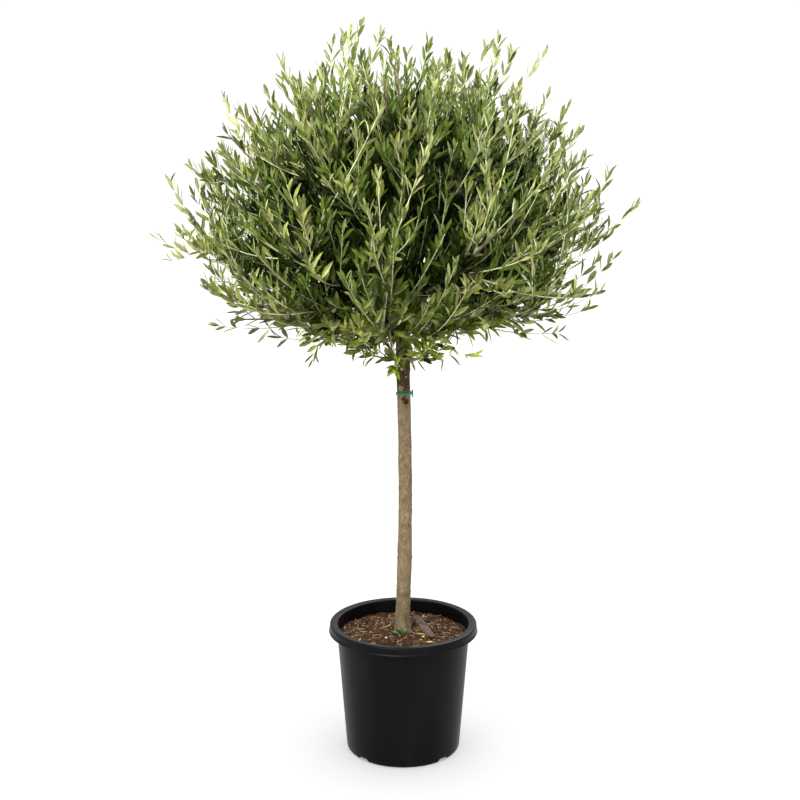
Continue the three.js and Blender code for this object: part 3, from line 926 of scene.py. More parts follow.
@dataclass
class Trunk:
    """The clear stem, from the soil to the tip from which the leader grows."""

    ground: float = 276.3 * MM
    tip_height: float = 1.136
    radius: float = 16.4 * MM
    crown_radius: float = 14 * MM
    tip_radius: float = 8 * MM
    flare: float = 4.6 * MM
    flare_fade: float = 22 * MM
    root_share: float = 0.32
    crown_height: float = 0.930
    bow: float = 6.5 * MM
    lean: float = -2 * MM
    sway: float = 3 * MM
    sunk: float = 5 * MM
    tip_rise: float = 1.5 * MM
    sides: int = 80
    rings: int = 430
    ridges: tuple[Ridges, ...] = (
        Ridges(0.90 * MM, 1.2, 9, 1),
        Ridges(0.55 * MM, 2.6, 28, 2),
        Ridges(0.42 * MM, 6.0, 22, 3),
        Ridges(0.30 * MM, 11.0, 60, 4),
        Ridges(0.22 * MM, 9.0, 260, 5),
    )
    plates: Ridges = Ridges(0.55 * MM, 5.0, 120, 6)
    plate_band: Pair = (0.35, 0.4)
    root_waves: tuple[Triple, ...] = ((3, 0.6, 1.0), (5, 2.1, 0.6))
    scars: tuple[Scar, ...] = (
        Scar(0.816, -88, 6.5 * MM, 1.6 * MM, 2.2 * MM),
        Scar(0.847, -118, 4.5 * MM, 2.6 * MM, 0.3 * MM),
        Scar(0.700, -60, 6.0 * MM, 1.1 * MM, 1.2 * MM),
        Scar(0.612, -140, 5.0 * MM, 1.0 * MM, 0.8 * MM),
        Scar(0.505, -95, 6.5 * MM, 0.9 * MM, 1.2 * MM),
        Scar(0.452, 35, 6.0 * MM, 1.2 * MM, 1.0 * MM),
        Scar(0.655, 120, 6.5 * MM, 1.2 * MM, 1.4 * MM),
        Scar(0.760, 60, 5.0 * MM, 1.2 * MM, 0.8 * MM),
        Scar(0.560, -20, 5.5 * MM, 1.0 * MM, 1.0 * MM),
        Scar(0.342, -70, 5.0 * MM, 0.9 * MM, 0.7 * MM),
        Scar(0.890, 20, 5.5 * MM, 1.5 * MM, 1.0 * MM),
    )
    ring_scars: tuple[Ring, ...] = (Ring(0.374, 3.0 * MM, 0.8 * MM), Ring(0.380, 2.2 * MM, -0.5 * MM))

    def centre(self, height: float) -> Array:
        """Returns the trunk's centre at a height: a shallow bow to the right that ends at the crown."""
        share = min((height - self.ground) / (self.crown_height - self.ground), 1.0)
        bowed = self.lean + self.bow * math.sin(math.pi * share)
        return np.array([bowed, self.sway * math.sin(2 * math.pi * share), height])

    def reach(self, height: float) -> float:
        """Returns the trunk's radius at a height, with the root flare at the ground."""
        flare = self.flare * math.exp(-(height - self.ground) / self.flare_fade)
        if height <= self.crown_height:
            share = (height - self.ground) / (self.crown_height - self.ground)
            return lerp(self.radius, self.crown_radius, share) + flare
        share = (height - self.crown_height) / (self.tip_height - self.crown_height)
        return lerp(self.crown_radius, self.tip_radius, share)

    def relief(self, angles: Array, heights: Array, radii: Array) -> Array:
        """Returns how far the bark stands out at each angle and height, for a trunk of those radii."""
        out = sum(layer.height * layer.field(angles, heights) for layer in self.ridges)
        start, width = self.plate_band
        out += self.plates.height * smoothstep((self.plates.field(angles, heights) - start) / width)
        roots = sum(part * np.cos(count * angles + phase) for count, phase, part in self.root_waves)
        out += self.root_share * self.flare * roots * np.exp(-(heights - self.ground) / self.flare_fade)
        for scar in self.scars:
            out += scar.relief(angles, heights, radii)
        for ring in self.ring_scars:
            out += ring.lift * np.exp(-(((heights - ring.height) / ring.width) ** 2))
        return out

    def build(self) -> None:
        """Builds the trunk as rings with the bark's relief, and settles it."""
        heights = np.linspace(self.ground - self.sunk, self.tip_height, self.rings)
        centres = np.array([self.centre(max(h, self.ground)) for h in heights])
        radii = np.array([self.reach(max(h, self.ground)) for h in heights])
        angles = np.tile(np.arange(self.sides) * 2 * math.pi / self.sides, self.rings)
        levels, girths = np.repeat(heights, self.sides), np.repeat(radii, self.sides)
        out = girths + self.relief(angles, levels, girths)
        vertices = np.repeat(centres, self.sides, axis=0)
        vertices[:, 0] += out * np.cos(angles)
        vertices[:, 1] += out * np.sin(angles)
        vertices[:, 2] = levels
        foot, top = [*centres[0][:2], heights[0]], [*centres[-1][:2], heights[-1] + self.tip_rise]
        vertices = np.concatenate([vertices, [foot, top]])
        faces = ring_faces(self.rings, self.sides)
        settle(piece_from("trunk_bark", vertices, faces, BarkFinish().material()), Slot.BARK, "trunk")


# ---- The plan of the crown: the same limbs, stems and twigs as the model's ----


@dataclass(frozen=True)
class Crown:
    """The crown's outline, as a reach from its centre in each direction."""

    centre: Triple = (-0.014, 0.0, 1.130)
    width: float = 0.545
    rise: float = 0.500
    drop: float = 0.236
    overhang: float = 0.026
    hem_height: float = 0.958
    hem_radius: float = 0.15
    hem_rise: float = 0.34

    def reach(self, direction: Array) -> float:
        """Returns how far the crown reaches towards a direction."""
        vertical = self.rise if direction[2] > 0 else self.drop
        return 1 / math.hypot(math.hypot(direction[0], direction[1]) / self.width, direction[2] / vertical)

    def depth(self, point: Array) -> float:
        """Returns a point's distance from the centre as a share of the reach on its side."""
        out = point - np.array(self.centre)
        away = float(np.linalg.norm(out))
        return away / self.reach(out / away)

    def level(self, point: Array) -> float:
        """Returns a point's height in the crown, from 0 at its foot to 1 at its top."""
        return (point[2] - (self.centre[2] - self.drop)) / (self.rise + self.drop)

    def in_box(self, point: Array) -> bool:
        """Returns whether a point is inside the model's box, or hardly outside."""
        low, high = MODEL_BOX
        return all(low[i] - self.overhang <= point[i] <= high[i] + self.overhang for i in range(3))

    def over_hem(self, point: Array) -> bool:
        """Returns whether a point is above the crown's hem, which rises away from the trunk."""
        away = math.hypot(point[0] - self.centre[0], point[1])
        return point[2] > self.hem_height + self.hem_rise * max(away - self.hem_radius, 0)


@dataclass(frozen=True)
class Tier:
    """A ring of boughs. Elevations are seen from the crown's centre; forks are heights on the trunk."""

    count: int
    azimuth: float
    elevation: float
    fork: float
    step: float
    radius: float
    sag: float
    bare: float
    twigs: int


@dataclass
class Limb:
    """A stem with its foliage, and the bough that carries it, where it has one."""

    draws: Draws
    bough: Optional[Shoot]
    stem: Shoot
    radius: float
    twigs: int


@dataclass
class GrowthPlan:
    """Every limb of the crown and the twigs on it, by the rule that the model is grown by."""

    trunk: Trunk
    crown: Crown = field(default_factory=Crown)
    seed: int = 42
    tier_key: int = 101
    bough_key: int = 13
    leader_key: int = 977
    sprig_key: int = 1301
    tiers: tuple[Tier, ...] = (
        Tier(6, 27, -15, 0.942, 0.009, 6.6 * MM, -0.03, 0.20, 4),
        Tier(6, -3, 9, 1.000, 0.009, 7.2 * MM, 0.09, 0.18, 5),
        Tier(6, 5, 37, 1.050, 0.007, 6.4 * MM, 0.10, 0.20, 5),
        Tier(4, -6, 60, 1.088, 0.008, 5.6 * MM, 0.07, 0.24, 5),
    )
    stem_taper: float = 0.68
    stem_steps: int = 4
    bough_steps: int = 2
    turn: float = 6
    reach_vary: float = 0.04
    leaf_spray: float = 0.112
    spray_share: float = 0.7
    leader_twigs: int = 7
    leader_bend: float = 8 * MM
    outer_scale: float = 0.76
    twig_first: float = 0.04
    twig_last: float = 0.74
    twig_angle: float = 52
    twig_angle_vary: float = 24
    twig_bend: float = 0.55
    lowest_fill: float = 0.9
    tries: int = 9
    lift: float = 0.2
    longest: float = 0.300
    shortest: float = 0.060
    shorten: float = 0.88
    margin: float = 3 * MM
    wood_heights: tuple[float, ...] = (0.5, 0.8, 0.9, 0.96, 1.02, 1.08)
    sprig_count: int = 5
    sprig_azimuth: float = 255
    sprig_height: float = 0.896
    sprig_step: float = 0.005
    sprig_length: float = 0.078
    sprig_rise: float = 0.12
    sprig_radius: float = 3 * MM

    def __post_init__(self) -> None:
        """Plans the limbs, then the wood that foliage keeps clear of."""
        self.limbs = [self.sprig(i) for i in range(self.sprig_count)]
        for number, tier in enumerate(self.tiers):
            self.limbs += [self.limb(tier, number, i) for i in range(tier.count)]
        self.limbs.append(self.leader())
        axes = [limb.stem.lines() for limb in self.limbs]
        self.owners = np.repeat(np.arange(len(axes)), [len(axis) for axis in axes])
        self.axis_lines = np.concatenate(axes)
        trunk = self.trunk
        heights = (trunk.ground, *self.wood_heights, trunk.tip_height)
        spans = zip(heights, heights[1:])
        solid = [(trunk.centre(low), trunk.centre(high), trunk.reach(low)) for low, high in spans]
        for limb in self.limbs:
            if limb.bough:
                solid += [(start, end, limb.radius) for start, end in limb.bough.lines()]
        self.wood_lines = np.array([[start, end] for start, end, _ in solid])
        self.wood_clear = np.array([radius for _, _, radius in solid]) + self.margin

    def limb(self, tier: Tier, number: int, index: int) -> Limb:
        """Plans a tier's bough and its stem.

        Args:
            tier: The ring of boughs.
            number: The tier's number from the lowest.
            index: The bough's number in the tier.

        Returns:
            The limb.
        """
        draws = Draws(self.seed + self.tier_key * number + self.bough_key * index)
        azimuth = tier.azimuth + index * 360 / tier.count + (draws() - 0.5) * 2 * self.turn
        direction = heading(azimuth, tier.elevation + (draws() - 0.5) * self.turn)
        rank = index // 2 + (index % 2) * math.ceil(tier.count / 2)
        foot = self.trunk.centre(tier.fork + tier.step * rank)
        reach = self.crown.reach(direction) * (1 - self.reach_vary * draws())
        tip = np.array(self.crown.centre) + direction * (reach - self.leaf_spray * self.spray_share)
        span = float(np.linalg.norm(tip - foot))
        whole = Shoot(foot, (foot + tip) / 2 - UP * tier.sag * span, tip, self.stem_steps)
        bough = whole.stretch(0, tier.bare, self.bough_steps)
        stem = whole.stretch(tier.bare + GAP / span, 1, self.stem_steps)
        return Limb(draws, bough, stem, tier.radius, tier.twigs)

    def leader(self) -> Limb:
        """Plans the foliage straight on the trunk's tip."""
        foot = self.trunk.centre(self.trunk.tip_height) + UP * GAP
        tip = np.array(self.crown.centre) + UP * (self.crown.rise - self.leaf_spray * self.spray_share)
        stem = Shoot(foot, (foot + tip) / 2 + RIGHT * self.leader_bend, tip, self.stem_steps)
        return Limb(Draws(self.seed + self.leader_key), None, stem, self.trunk.tip_radius, self.leader_twigs)

    def sprig(self, index: int) -> Limb:
        """Plans a short leafy sprig straight on the trunk."""
        azimuth = self.sprig_azimuth + index * GOLDEN_ANGLE
        height = self.sprig_height + self.sprig_step * index
        direction = heading(azimuth, 0)
        foot = self.trunk.centre(height) + direction * (self.trunk.reach(height) - self.sprig_radius)
        tip = foot + direction * self.sprig_length + UP * self.sprig_rise * self.sprig_length
        stem = Shoot(foot, (foot + tip) / 2, tip, 1)
        return Limb(Draws(self.seed + self.sprig_key + index), None, stem, self.sprig_radius, 0)

    def in_own_space(self, point: Array, owner: int) -> bool:
        """Returns whether a point is nearer to a limb's stem than to any other's, and clear of all wood."""
        away = distance_to_lines(point, self.axis_lines)
        own = away[self.owners == owner].min()
        if own > away[self.owners != owner].min() - 2 * self.margin:
            return False
        return bool((distance_to_lines(point, self.wood_lines) > self.wood_clear).all())

    def twig(self, owner: int, share: float, roll: float, angle: float, fill: float) -> Optional[Shoot]:
        """Plans a twig as long as it can be within the crown and its limb's space.

        Args:
            owner: The limb's number.
            share: Where on the limb's stem it grows.
            roll: Its side of the stem, in degrees.
            angle: How far it leans off the stem, in radians.
            fill: The share of the crown's reach that it may use.

        Returns:
            The twig, or None where there is no room for one.
        """
        stem = self.limbs[owner].stem
        foot = stem.centre(share)
        direction = stem.tangent(share) * math.cos(angle) + stem.side(share, roll) * math.sin(angle)
        length = self.longest
        while length >= self.shortest:
            tip = foot + direction * length + UP * self.lift * length
            leaf_tip = tip + direction * self.leaf_spray * self.outer_scale
            if self.crown.depth(leaf_tip) <= fill and self.in_own_space(tip, owner):
                return Shoot(foot, foot + direction * length * self.twig_bend, tip)
            length *= self.shorten
        return None

    def twigs(self, owner: int) -> list[Shoot]:
        """Returns the twigs on a limb's stem, each on the side with the most room."""
        limb = self.limbs[owner]
        made: list[Shoot] = []
        taken = list(limb.stem.at(np.linspace(0, 1, 5)))
        for i in range(limb.twigs):
            share = lerp(self.twig_first, self.twig_last, i / max(limb.twigs - 1, 1))
            fill = lerp(self.lowest_fill, 1, limb.draws())
            best, most_room = None, 0.0
            for _ in range(self.tries):
                angle = math.radians(self.twig_angle + (limb.draws() - 0.5) * self.twig_angle_vary)
                twig = self.twig(owner, share, limb.draws() * 360, angle, fill)
                room = min(float(np.linalg.norm(point - twig.tip)) for point in taken) if twig else 0.0
                if room > most_room:
                    best, most_room = twig, room
            if best:
                made.append(best)
                taken += [best.at(0.6), best.tip]
        return made


# ---- Foliage ----


class Tint(Enum):
    """The kinds of spray: darker and lighter copies of one leaf, from painted shade inside the crown to
    painted light and paler new growth outside.
    """

    DEEP = "deep"
    MIDDLE = "middle"
    GREY = "grey"
    FRESH = "fresh"
    LIME = "lime"


# Painted light and shade: DEEP, MIDDLE, GREY and the lightest tint are one olive leaf. It is darkened for the
# shade inside the crown (DEEP near black) and lightened outside, where the lightest tint is partly paler new
# growth and partly painted light.
LEAF_FINISHES = {
    Tint.DEEP: LeafFinish((0.0072, 0.0145, 0.0010), (0.020, 0.032, 0.007), specular=0.03),
    Tint.MIDDLE: LeafFinish((0.038, 0.059, 0.006), (0.085, 0.110, 0.028), specular=0.06),
    Tint.GREY: LeafFinish((0.062, 0.079, 0.014), (0.140, 0.156, 0.058), specular=0.10),
    Tint.FRESH: LeafFinish((0.090, 0.099, 0.020), (0.160, 0.165, 0.068), specular=0.10),
    Tint.LIME: LeafFinish((0.112, 0.150, 0.006), (0.172, 0.206, 0.028), specular=0.12),
}


@dataclass
class LeafForms:
    """Narrow leaves of unit length and width, each folded, bent and twisted in its own way."""

    stations: tuple[float, ...] = (0.08, 0.32, 0.62, 0.88)
    half_widths: tuple[float, ...] = (0.09, 0.41, 0.50, 0.26)
    thickness: float = 0.06
    manners: tuple[Triple, ...] = (
        (0.22, -0.35, 0.0),
        (0.34, -0.90, 0.35),
        (0.16, 0.25, -0.30),
        (0.45, -0.15, 0.55),
        (0.28, -1.40, -0.15),
        (0.20, 0.60, 0.20),
    )

    def mesh(self, fold: float, bend: float, twist: float) -> Mesh:
        """Makes one leaf along +X, its upper side towards +Z.

        Args:
            fold: How far the edges stand above the rib, as a share of their distance from it.
            bend: How far the tip rises, in widths.
            twist: The turn of the tip against the foot, in radians.

        Returns:
            The leaf's mesh, with its undersides marked.
        """
        vertices = [(0.0, 0.0, 0.0)]
        for along, half in zip(self.stations, self.half_widths):
            rise, turn = bend * along**2, twist * along
            for aside, depth in ((half, 0.0), (0.0, 0.0), (-half, 0.0), (0.0, self.thickness)):
                lift = fold * abs(aside) - depth
                y = aside * math.cos(turn) - lift * math.sin(turn)
                z = aside * math.sin(turn) + lift * math.cos(turn)
                vertices.append((along, y, z + rise))
        vertices.append((1.0, 0.0, bend))
        tip = len(vertices) - 1
        upper = [(0, 2, 1), (0, 3, 2)]
        under = [(0, 1, 4), (0, 4, 3)]
        for i in range(len(self.stations) - 1):
            a, b = 1 + 4 * i, 5 + 4 * i
            upper += [(a, a + 1, b + 1, b), (a + 1, a + 2, b + 2, b + 1)]
            under += [(a + 3, a, b, b + 3), (a + 2, a + 3, b + 3, b + 2)]
        last = tip - 4
        upper += [(last, last + 1, tip), (last + 1, last + 2, tip)]
        under += [(last + 3, last, tip), (last + 2, last + 3, tip)]
        mesh = bpy.data.meshes.new("leaf")
        mesh.from_pydata(vertices, [], upper + under)
        mesh.polygons.foreach_set("use_smooth", [True] * len(mesh.polygons))
        mark = mesh.attributes.new("underside", "BOOLEAN", "FACE")
        mark.data.foreach_set("value", [False] * len(upper) + [True] * len(under))
        ribs = {0, tip} | {1 + 4 * i + offset for i in range(len(self.stations)) for offset in (0, 1, 2)}
        for edge in mesh.edges:
            start, end = sorted(edge.vertices)
            runs_along = start == 0 or end == tip or end - start == 4
            edge.use_edge_sharp = runs_along and start in ribs and end in ribs
        return mesh

    def build(self) -> Collection:
        """Returns the collection of leaves."""
        return form_collection("leaf_form", [self.mesh(*manner) for manner in self.manners])


@dataclass
class LeafHabit:
    """How leaves stand on a shoot: in pairs, each pair a quarter turn from the last.

    The pairs of numbers named hem, airy and flank are heights between which a habit changes.
    """

    length: float = 43 * MM
    width: float = 9.4 * MM
    length_vary: Pair = (0.82, 1.14)
    width_vary: Pair = (0.85, 1.15)
    size_at: tuple[float, ...] = (0, 0.25, 0.6, 0.9, 1.0)
    sizes: tuple[float, ...] = (0.9, 1.05, 1.0, 0.88, 0.70)
    spacing_vary: Pair = (0.8, 1.25)
    joint_vary: Pair = (0.25, 0.75)
    last_joint: float = 0.93
    tip_joint: float = 0.55
    quarter: float = 90
    roll_scatter: float = 12
    foot_angle: float = 54
    tip_angle: float = 28
    angle_ease: float = 1.4
    angle_scatter: float = 0.14
    aim_scatter: float = 0.09
    lift: float = 0.62
    hem_lift: float = -0.10
    hem: Pair = (0.93, 1.12)
    hem_width: float = 1.25
    airy: Pair = (0.95, 1.30)
    airy_spacing: float = 1.75
    flank: Pair = (1.0, 1.5)
    faces_ahead: float = 0.6
    faces_in: float = 0.5
    faces_up: float = 0.4
    faces_out: float = 0.8
    face_scatter: float = 0.5
    missing: float = 0.06
    forms: int = 6

    def joints(self, spray: "Spray", start: float, end: float, rng: Random) -> Array:
        """Returns the shares of a spray at which a pair of leaves stands, for the part from start to end."""
        shoot = spray.shoot
        spacing = spray.leaf_spacing * np.interp(shoot.at(0.5)[2], self.airy, (self.airy_spacing, 1))
        part = shoot.length() * (end - start)
        count = max(round(part / (spacing * rng.uniform(*self.spacing_vary))), 1)
        along = start + (end - start) * (np.arange(count) + rng.uniform(*self.joint_vary, count)) / count
        if end < 1:
            return along
        tip_joint = 1 - self.tip_joint * spray.leaf_spacing / shoot.length()
        return np.concatenate([along * self.last_joint, [tip_joint, 1.0]])

    def on(self, spray: "Spray", start: float, end: float, rng: Random) -> Placing:
        """Places the leaves of one part of a spray.

        Args:
            spray: The shoot, and how its leaves are spaced and sized.
            start: The share of the shoot where the part starts.
            end: The share where it ends. The shoot's tip has two more pairs.
            rng: Where the scatter comes from.

        Returns:
            The leaves' placing.
        """
        shoot, along = spray.shoot, self.joints(spray, start, end, rng)
        pairs = np.arange(len(along))
        roll = rng.uniform(0, 360) + self.quarter * pairs + rng.normal(0, self.roll_scatter, len(pairs))
        angle = np.radians(lerp(self.foot_angle, self.tip_angle, along**self.angle_ease))
        size = np.repeat(spray.leaf_size * np.interp(along, self.size_at, self.sizes), 2)
        tangent = np.repeat(shoot.tangent(along), 2, axis=0)
        foot = np.repeat(shoot.at(along), 2, axis=0)
        side = np.repeat(shoot.side(along, roll), 2, axis=0)
        side[1::2] *= -1
        total = len(foot)
        lean = np.repeat(angle, 2) + rng.normal(0, self.angle_scatter, total)
        direction = tangent * np.cos(lean)[:, None] + side * np.sin(lean)[:, None]
        lift = np.interp(foot[:, 2], self.hem, (self.hem_lift, self.lift))[:, None]
        direction = unit(direction + UP * lift + rng.normal(0, self.aim_scatter, (total, 3)))
        flank = np.interp(foot[:, 2], self.flank, (1, 0))[:, None]
        outward = unit(foot * (1 - UP))
        facing = lerp(UP * self.faces_up, outward * self.faces_out, flank)
        facing = tangent * self.faces_ahead - side * self.faces_in + facing
        normal = facing + rng.normal(0, self.face_scatter, (total, 3))
        normal = unit(normal - direction * (normal * direction).sum(1)[:, None])
        lengths = self.length * size * rng.uniform(*self.length_vary, total)
        widths = self.width * np.interp(foot[:, 2], self.hem, (self.hem_width, 1)) * size
        widths = widths * rng.uniform(*self.width_vary, total)
        keep = rng.uniform(0, 1, total) > self.missing
        axes = np.stack([direction, np.cross(normal, direction), normal], axis=1)
        sizes = np.stack([lengths, widths, widths], axis=1)
        return Placing(foot[keep], axes[keep], sizes[keep], rng.integers(0, self.forms, total)[keep])


@dataclass
class Spray:
    """A shoot, its radius at both ends, the share of it that is bare, and how its leaves stand."""

    shoot: Shoot
    foot_radius: float
    tip_radius: float
    bare: float
    leaf_spacing: float = 22 * MM
    leaf_size: float = 1.0
    outer: bool = False

    def strand(self, points: int) -> Strand:
        """Returns the shoot's line and radii."""
        shares = np.linspace(0, 1, points)
        return Strand(self.shoot.at(shares), lerp(self.foot_radius, self.tip_radius, shares))


@dataclass(frozen=True)
class TintRule:
    """Which part of a spray takes which tint. The tints paint light and shade: darker farther into the crown,
    lighter near its foot, and on outer sprays darker near its top. Depths and heights are shares of the
    crown's.
    """

    lime_below: float = 0.19
    lime_within: float = 0.22
    lime_share: float = 0.55
    inner_low: float = 0.35
    inner_gain: float = 0.5
    inner_scatter: float = 0.05
    inner_deep: float = 0.64
    inner_middle: float = 0.78
    depth_gain: float = 0.85
    low: float = 0.45
    low_gain: float = 0.35
    high: float = 0.70
    high_loss: float = 0.50
    scatter: float = 0.06
    deep: float = 0.46
    middle: float = 0.61
    middle_within: float = 0.84
    grey: float = 0.705

    def pick(self, place: Array, outer: bool, crown: Crown, rng: Random) -> Tint:
        """Picks the tint at a place, on an outer or an inner shoot of a crown."""
        depth, height = crown.depth(place), crown.level(place)
        near_trunk = math.hypot(place[0], place[1]) < self.lime_within
        if height < self.lime_below and near_trunk and rng.uniform() < self.lime_share:
            return Tint.LIME
        if not outer:
            # painted shade: an inner spray is darker the farther in it sits, and lighter near the crown's
            # foot
            shade = depth + self.inner_gain * max(self.inner_low - height, 0)
            shade = shade + rng.normal(0, self.inner_scatter)
            if shade < self.inner_deep:
                return Tint.DEEP
            return Tint.MIDDLE if shade < self.inner_middle else Tint.GREY
        # painted light and shade: an outer spray is lighter farther out and near the foot, and darker near
        # the top
        score = self.depth_gain * depth + self.low_gain * max(self.low - height, 0)
        score = score - self.high_loss * max(height - self.high, 0) + rng.normal(0, self.scatter)
        if score < self.deep:
            return Tint.DEEP
        if score < self.middle and depth < self.middle_within:
            return Tint.MIDDLE
        return Tint.GREY if score < self.grey else Tint.FRESH


@dataclass(frozen=True)
class Flush:
    """One flush of shoots: how closely they stand, how long they grow, and how far out they may reach."""

    spacing: float
    shortest: float
    longest: float
    lowest_fill: float
    highest_fill: float
    foot_radius: float
    leaf_spacing: float
    leaf_size: float
    outer: bool


@dataclass
class Canopy:
    """The boughs, twigs, shoots and leaves that take the place of the model's masses.

    A lead is a long shoot whose leaves end at an azimuth, an elevation and a distance from the lead origin.
    """

    plan: GrowthPlan
    habit: LeafHabit = field(default_factory=LeafHabit)
    tints: TintRule = TintRule()
    seed: int = 7
    inner: Flush = Flush(15 * MM, 40 * MM, 125 * MM, 0.50, 0.74, 1.3 * MM, 15 * MM, 0.98, False)
    outer: Flush = Flush(40 * MM, 90 * MM, 300 * MM, 0.72, 0.90, 1.5 * MM, 26 * MM, 0.95, True)
    angle: float = 36
    angle_scatter: float = 7
    tries: int = 6
    roll_vary: float = 25
    outward: float = 0.38
    upward: float = 0.12
    curl: float = 0.28
    bend: float = 0.55
    fill_ease: float = 1.4
    shorten: float = 0.9
    joint_vary: Pair = (0.2, 0.8)
    last_joint: float = 0.95
    length_vary: Pair = (0.45, 1.0)
    stem_tip: float = 1.5 * MM
    stem_bare: float = 0.55
    sprig_bare: float = 0.1
    sprig_spacing: float = 30 * MM
    sprig_leaf: float = 0.85
    twig_foot: float = 2.9 * MM
    twig_tip: float = 1.3 * MM
    twig_bare: float = 0.3
    shoot_tip: float = 0.65 * MM
    shoot_bare: float = 0.08
    collar: float = 0.5
    collar_fade: float = 9 * MM
    knots: float = 0.09
    knot_scale: float = 70
    lead_origin: Triple = (0.0, 0.0, 1.130)
    leads: tuple[Triple, ...] = (
        (180, 4, 0.545), (176, 17, 0.550), (184, 23, 0.505), (181, 31, 0.470), (177, 41, 0.525),
        (185, 50, 0.470), (180, 58, 0.500), (172, 66, 0.455), (145, 71, 0.510), (230, 74, 0.515),
        (215, 74, 0.500), (160, 70, 0.495), (-35, 64, 0.500), (-3, 62, 0.505), (110, 79, 0.480),
        (120, 78, 0.500), (-60, 77, 0.470), (40, 67, 0.470), (-8, 66, 0.510), (4, 55, 0.535),
        (-5, 48, 0.470), (3, 42, 0.490), (-4, 35, 0.460), (6, 28, 0.465), (-3, 22, 0.490),
        (1, 12, 0.530), (5, 5, 0.470), (-4, -1, 0.435), (4, -16, 0.440), (-8, -25, 0.390),
        (2, -52, 0.285), (180, -9, 0.450), (183, -20, 0.445), (176, -32, 0.350), (181, -48, 0.315),
    )
    more_leads: int = 90
    more_levels: Pair = (-0.36, 0.97)
    more_reach: Pair = (0.90, 1.02)
    named_sides: float = 0.3
    lead_longest: float = 0.330
    lead_shortest: float = 0.150
    lead_feet: tuple[float, float, int] = (0.1, 0.98, 12)
    lead_girth: float = 1.1
    lead_bare: float = 0.16
    lead_bend: float = 0.52
    lead_sag: float = 0.24
    lead_aim: float = 0.75
    length_cost: float = 3
    aim_cost: float = 1.2
    misfit_cost: float = 10
    most_leaves: int = 5000

    def __post_init__(self) -> None:
        """Grows every spray."""
        self.rng = np.random.default_rng(self.seed)
        self.centre = np.array(self.plan.crown.centre)
        self.stems: list[Spray] = []
        self.twigs: list[Spray] = []
        self.shoots: list[Spray] = []
        self.taken = np.zeros((0, 3))
        for owner, limb in enumerate(self.plan.limbs):
            if limb.twigs:
                girth = limb.radius * self.plan.stem_taper
                stem = Spray(limb.stem, girth, self.stem_tip, self.stem_bare)
            else:
                leaves = (self.sprig_spacing, self.sprig_leaf)
                stem = Spray(limb.stem, limb.radius, self.shoot_tip, self.sprig_bare, *leaves)
            self.stems.append(stem)
            for twig in self.plan.twigs(owner):
                self.twigs.append(Spray(twig, self.twig_foot, self.twig_tip, self.twig_bare))
        parents = [*self.stems, *self.twigs]
        strong = [parent for parent in parents if parent.tip_radius > self.shoot_tip]
        self.shoots += self.leading_shoots(strong)
        for flush in (self.outer, self.inner):
            for parent in parents:
                self.shoots += self.shoots_on(parent, flush)

    def fits(self, leaf_tip: Array) -> bool:
        """Returns whether a leaf's tip is inside the model's box and above the crown's hem."""
        return self.plan.crown.in_box(leaf_tip) and self.plan.crown.over_hem(leaf_tip)

    def claim(self, shoot: Shoot) -> None:
        """Marks the room round a shoot's middle and tip as taken."""
        self.taken = np.concatenate([self.taken, shoot.at(np.array([0.55, 1.0]))])

    def room(self, shoot: Shoot) -> float:
        """Returns how far a shoot's middle and tip are from those of the shoots that are there."""
        if not len(self.taken):
            return 1.0
        points = shoot.at(np.array([0.6, 1.0]))
        return float(np.linalg.norm(self.taken[None] - points[:, None], axis=2).min(axis=1).mean())

    def lead_tips(self) -> list[Array]:
        """Returns where the long shoots' leaves end: the named ones, then more at the front and the back."""
        crown = self.plan.crown
        tips = [np.array(self.lead_origin) + heading(a, e) * reach for a, e, reach in self.leads]
        for i in range(self.more_leads):
            level = lerp(*self.more_levels, (i + 0.5) / self.more_leads)
            direction = heading(i * GOLDEN_ANGLE, math.degrees(math.asin(level)))
            if abs(direction[1]) < self.named_sides:
                continue
            leaf_tip = self.centre + direction * crown.reach(direction) * self.rng.uniform(*self.more_reach)
            if self.fits(leaf_tip):
                tips.append(leaf_tip)
        return tips

    def leading_shoots(self, parents: Sequence[Spray]) -> list[Spray]:
        """Grows the long shoots that stand out of the crown, each from the place that suits it best.

        Args:
            parents: The stems and twigs that they grow on.

        Returns:
            A spray for each.
        """
        shares = np.linspace(*self.lead_feet)
        feet = np.concatenate([parent.shoot.at(shares) for parent in parents])
        tangents = np.concatenate([parent.shoot.tangent(shares) for parent in parents])
        made = []
        for leaf_tip in self.lead_tips():
            tip = leaf_tip - unit(leaf_tip - self.centre) * self.habit.length * 0.45
            chords = tip - feet
            lengths = np.linalg.norm(chords, axis=1)
            aims = (chords * tangents).sum(1) / lengths
            cost = np.abs(lengths - 0.5 * (self.lead_longest + self.lead_shortest)) * self.length_cost
            cost += (1 - aims) * self.aim_cost
            cost += self.misfit_cost * ((lengths > self.lead_longest) | (lengths < self.lead_shortest))
            best = int(cost.argmin())
            start = unit(chords[best]) * self.lead_aim + tangents[best] * (1 - self.lead_aim)
            start = unit(start - UP * self.lead_sag)
            shoot = Shoot(feet[best], feet[best] + start * lengths[best] * self.lead_bend, tip)
            girth, spacing = self.outer.foot_radius * self.lead_girth, self.outer.leaf_spacing
            made.append(Spray(shoot, girth, self.shoot_tip, self.lead_bare, spacing, outer=True))
            self.claim(shoot)
        return made

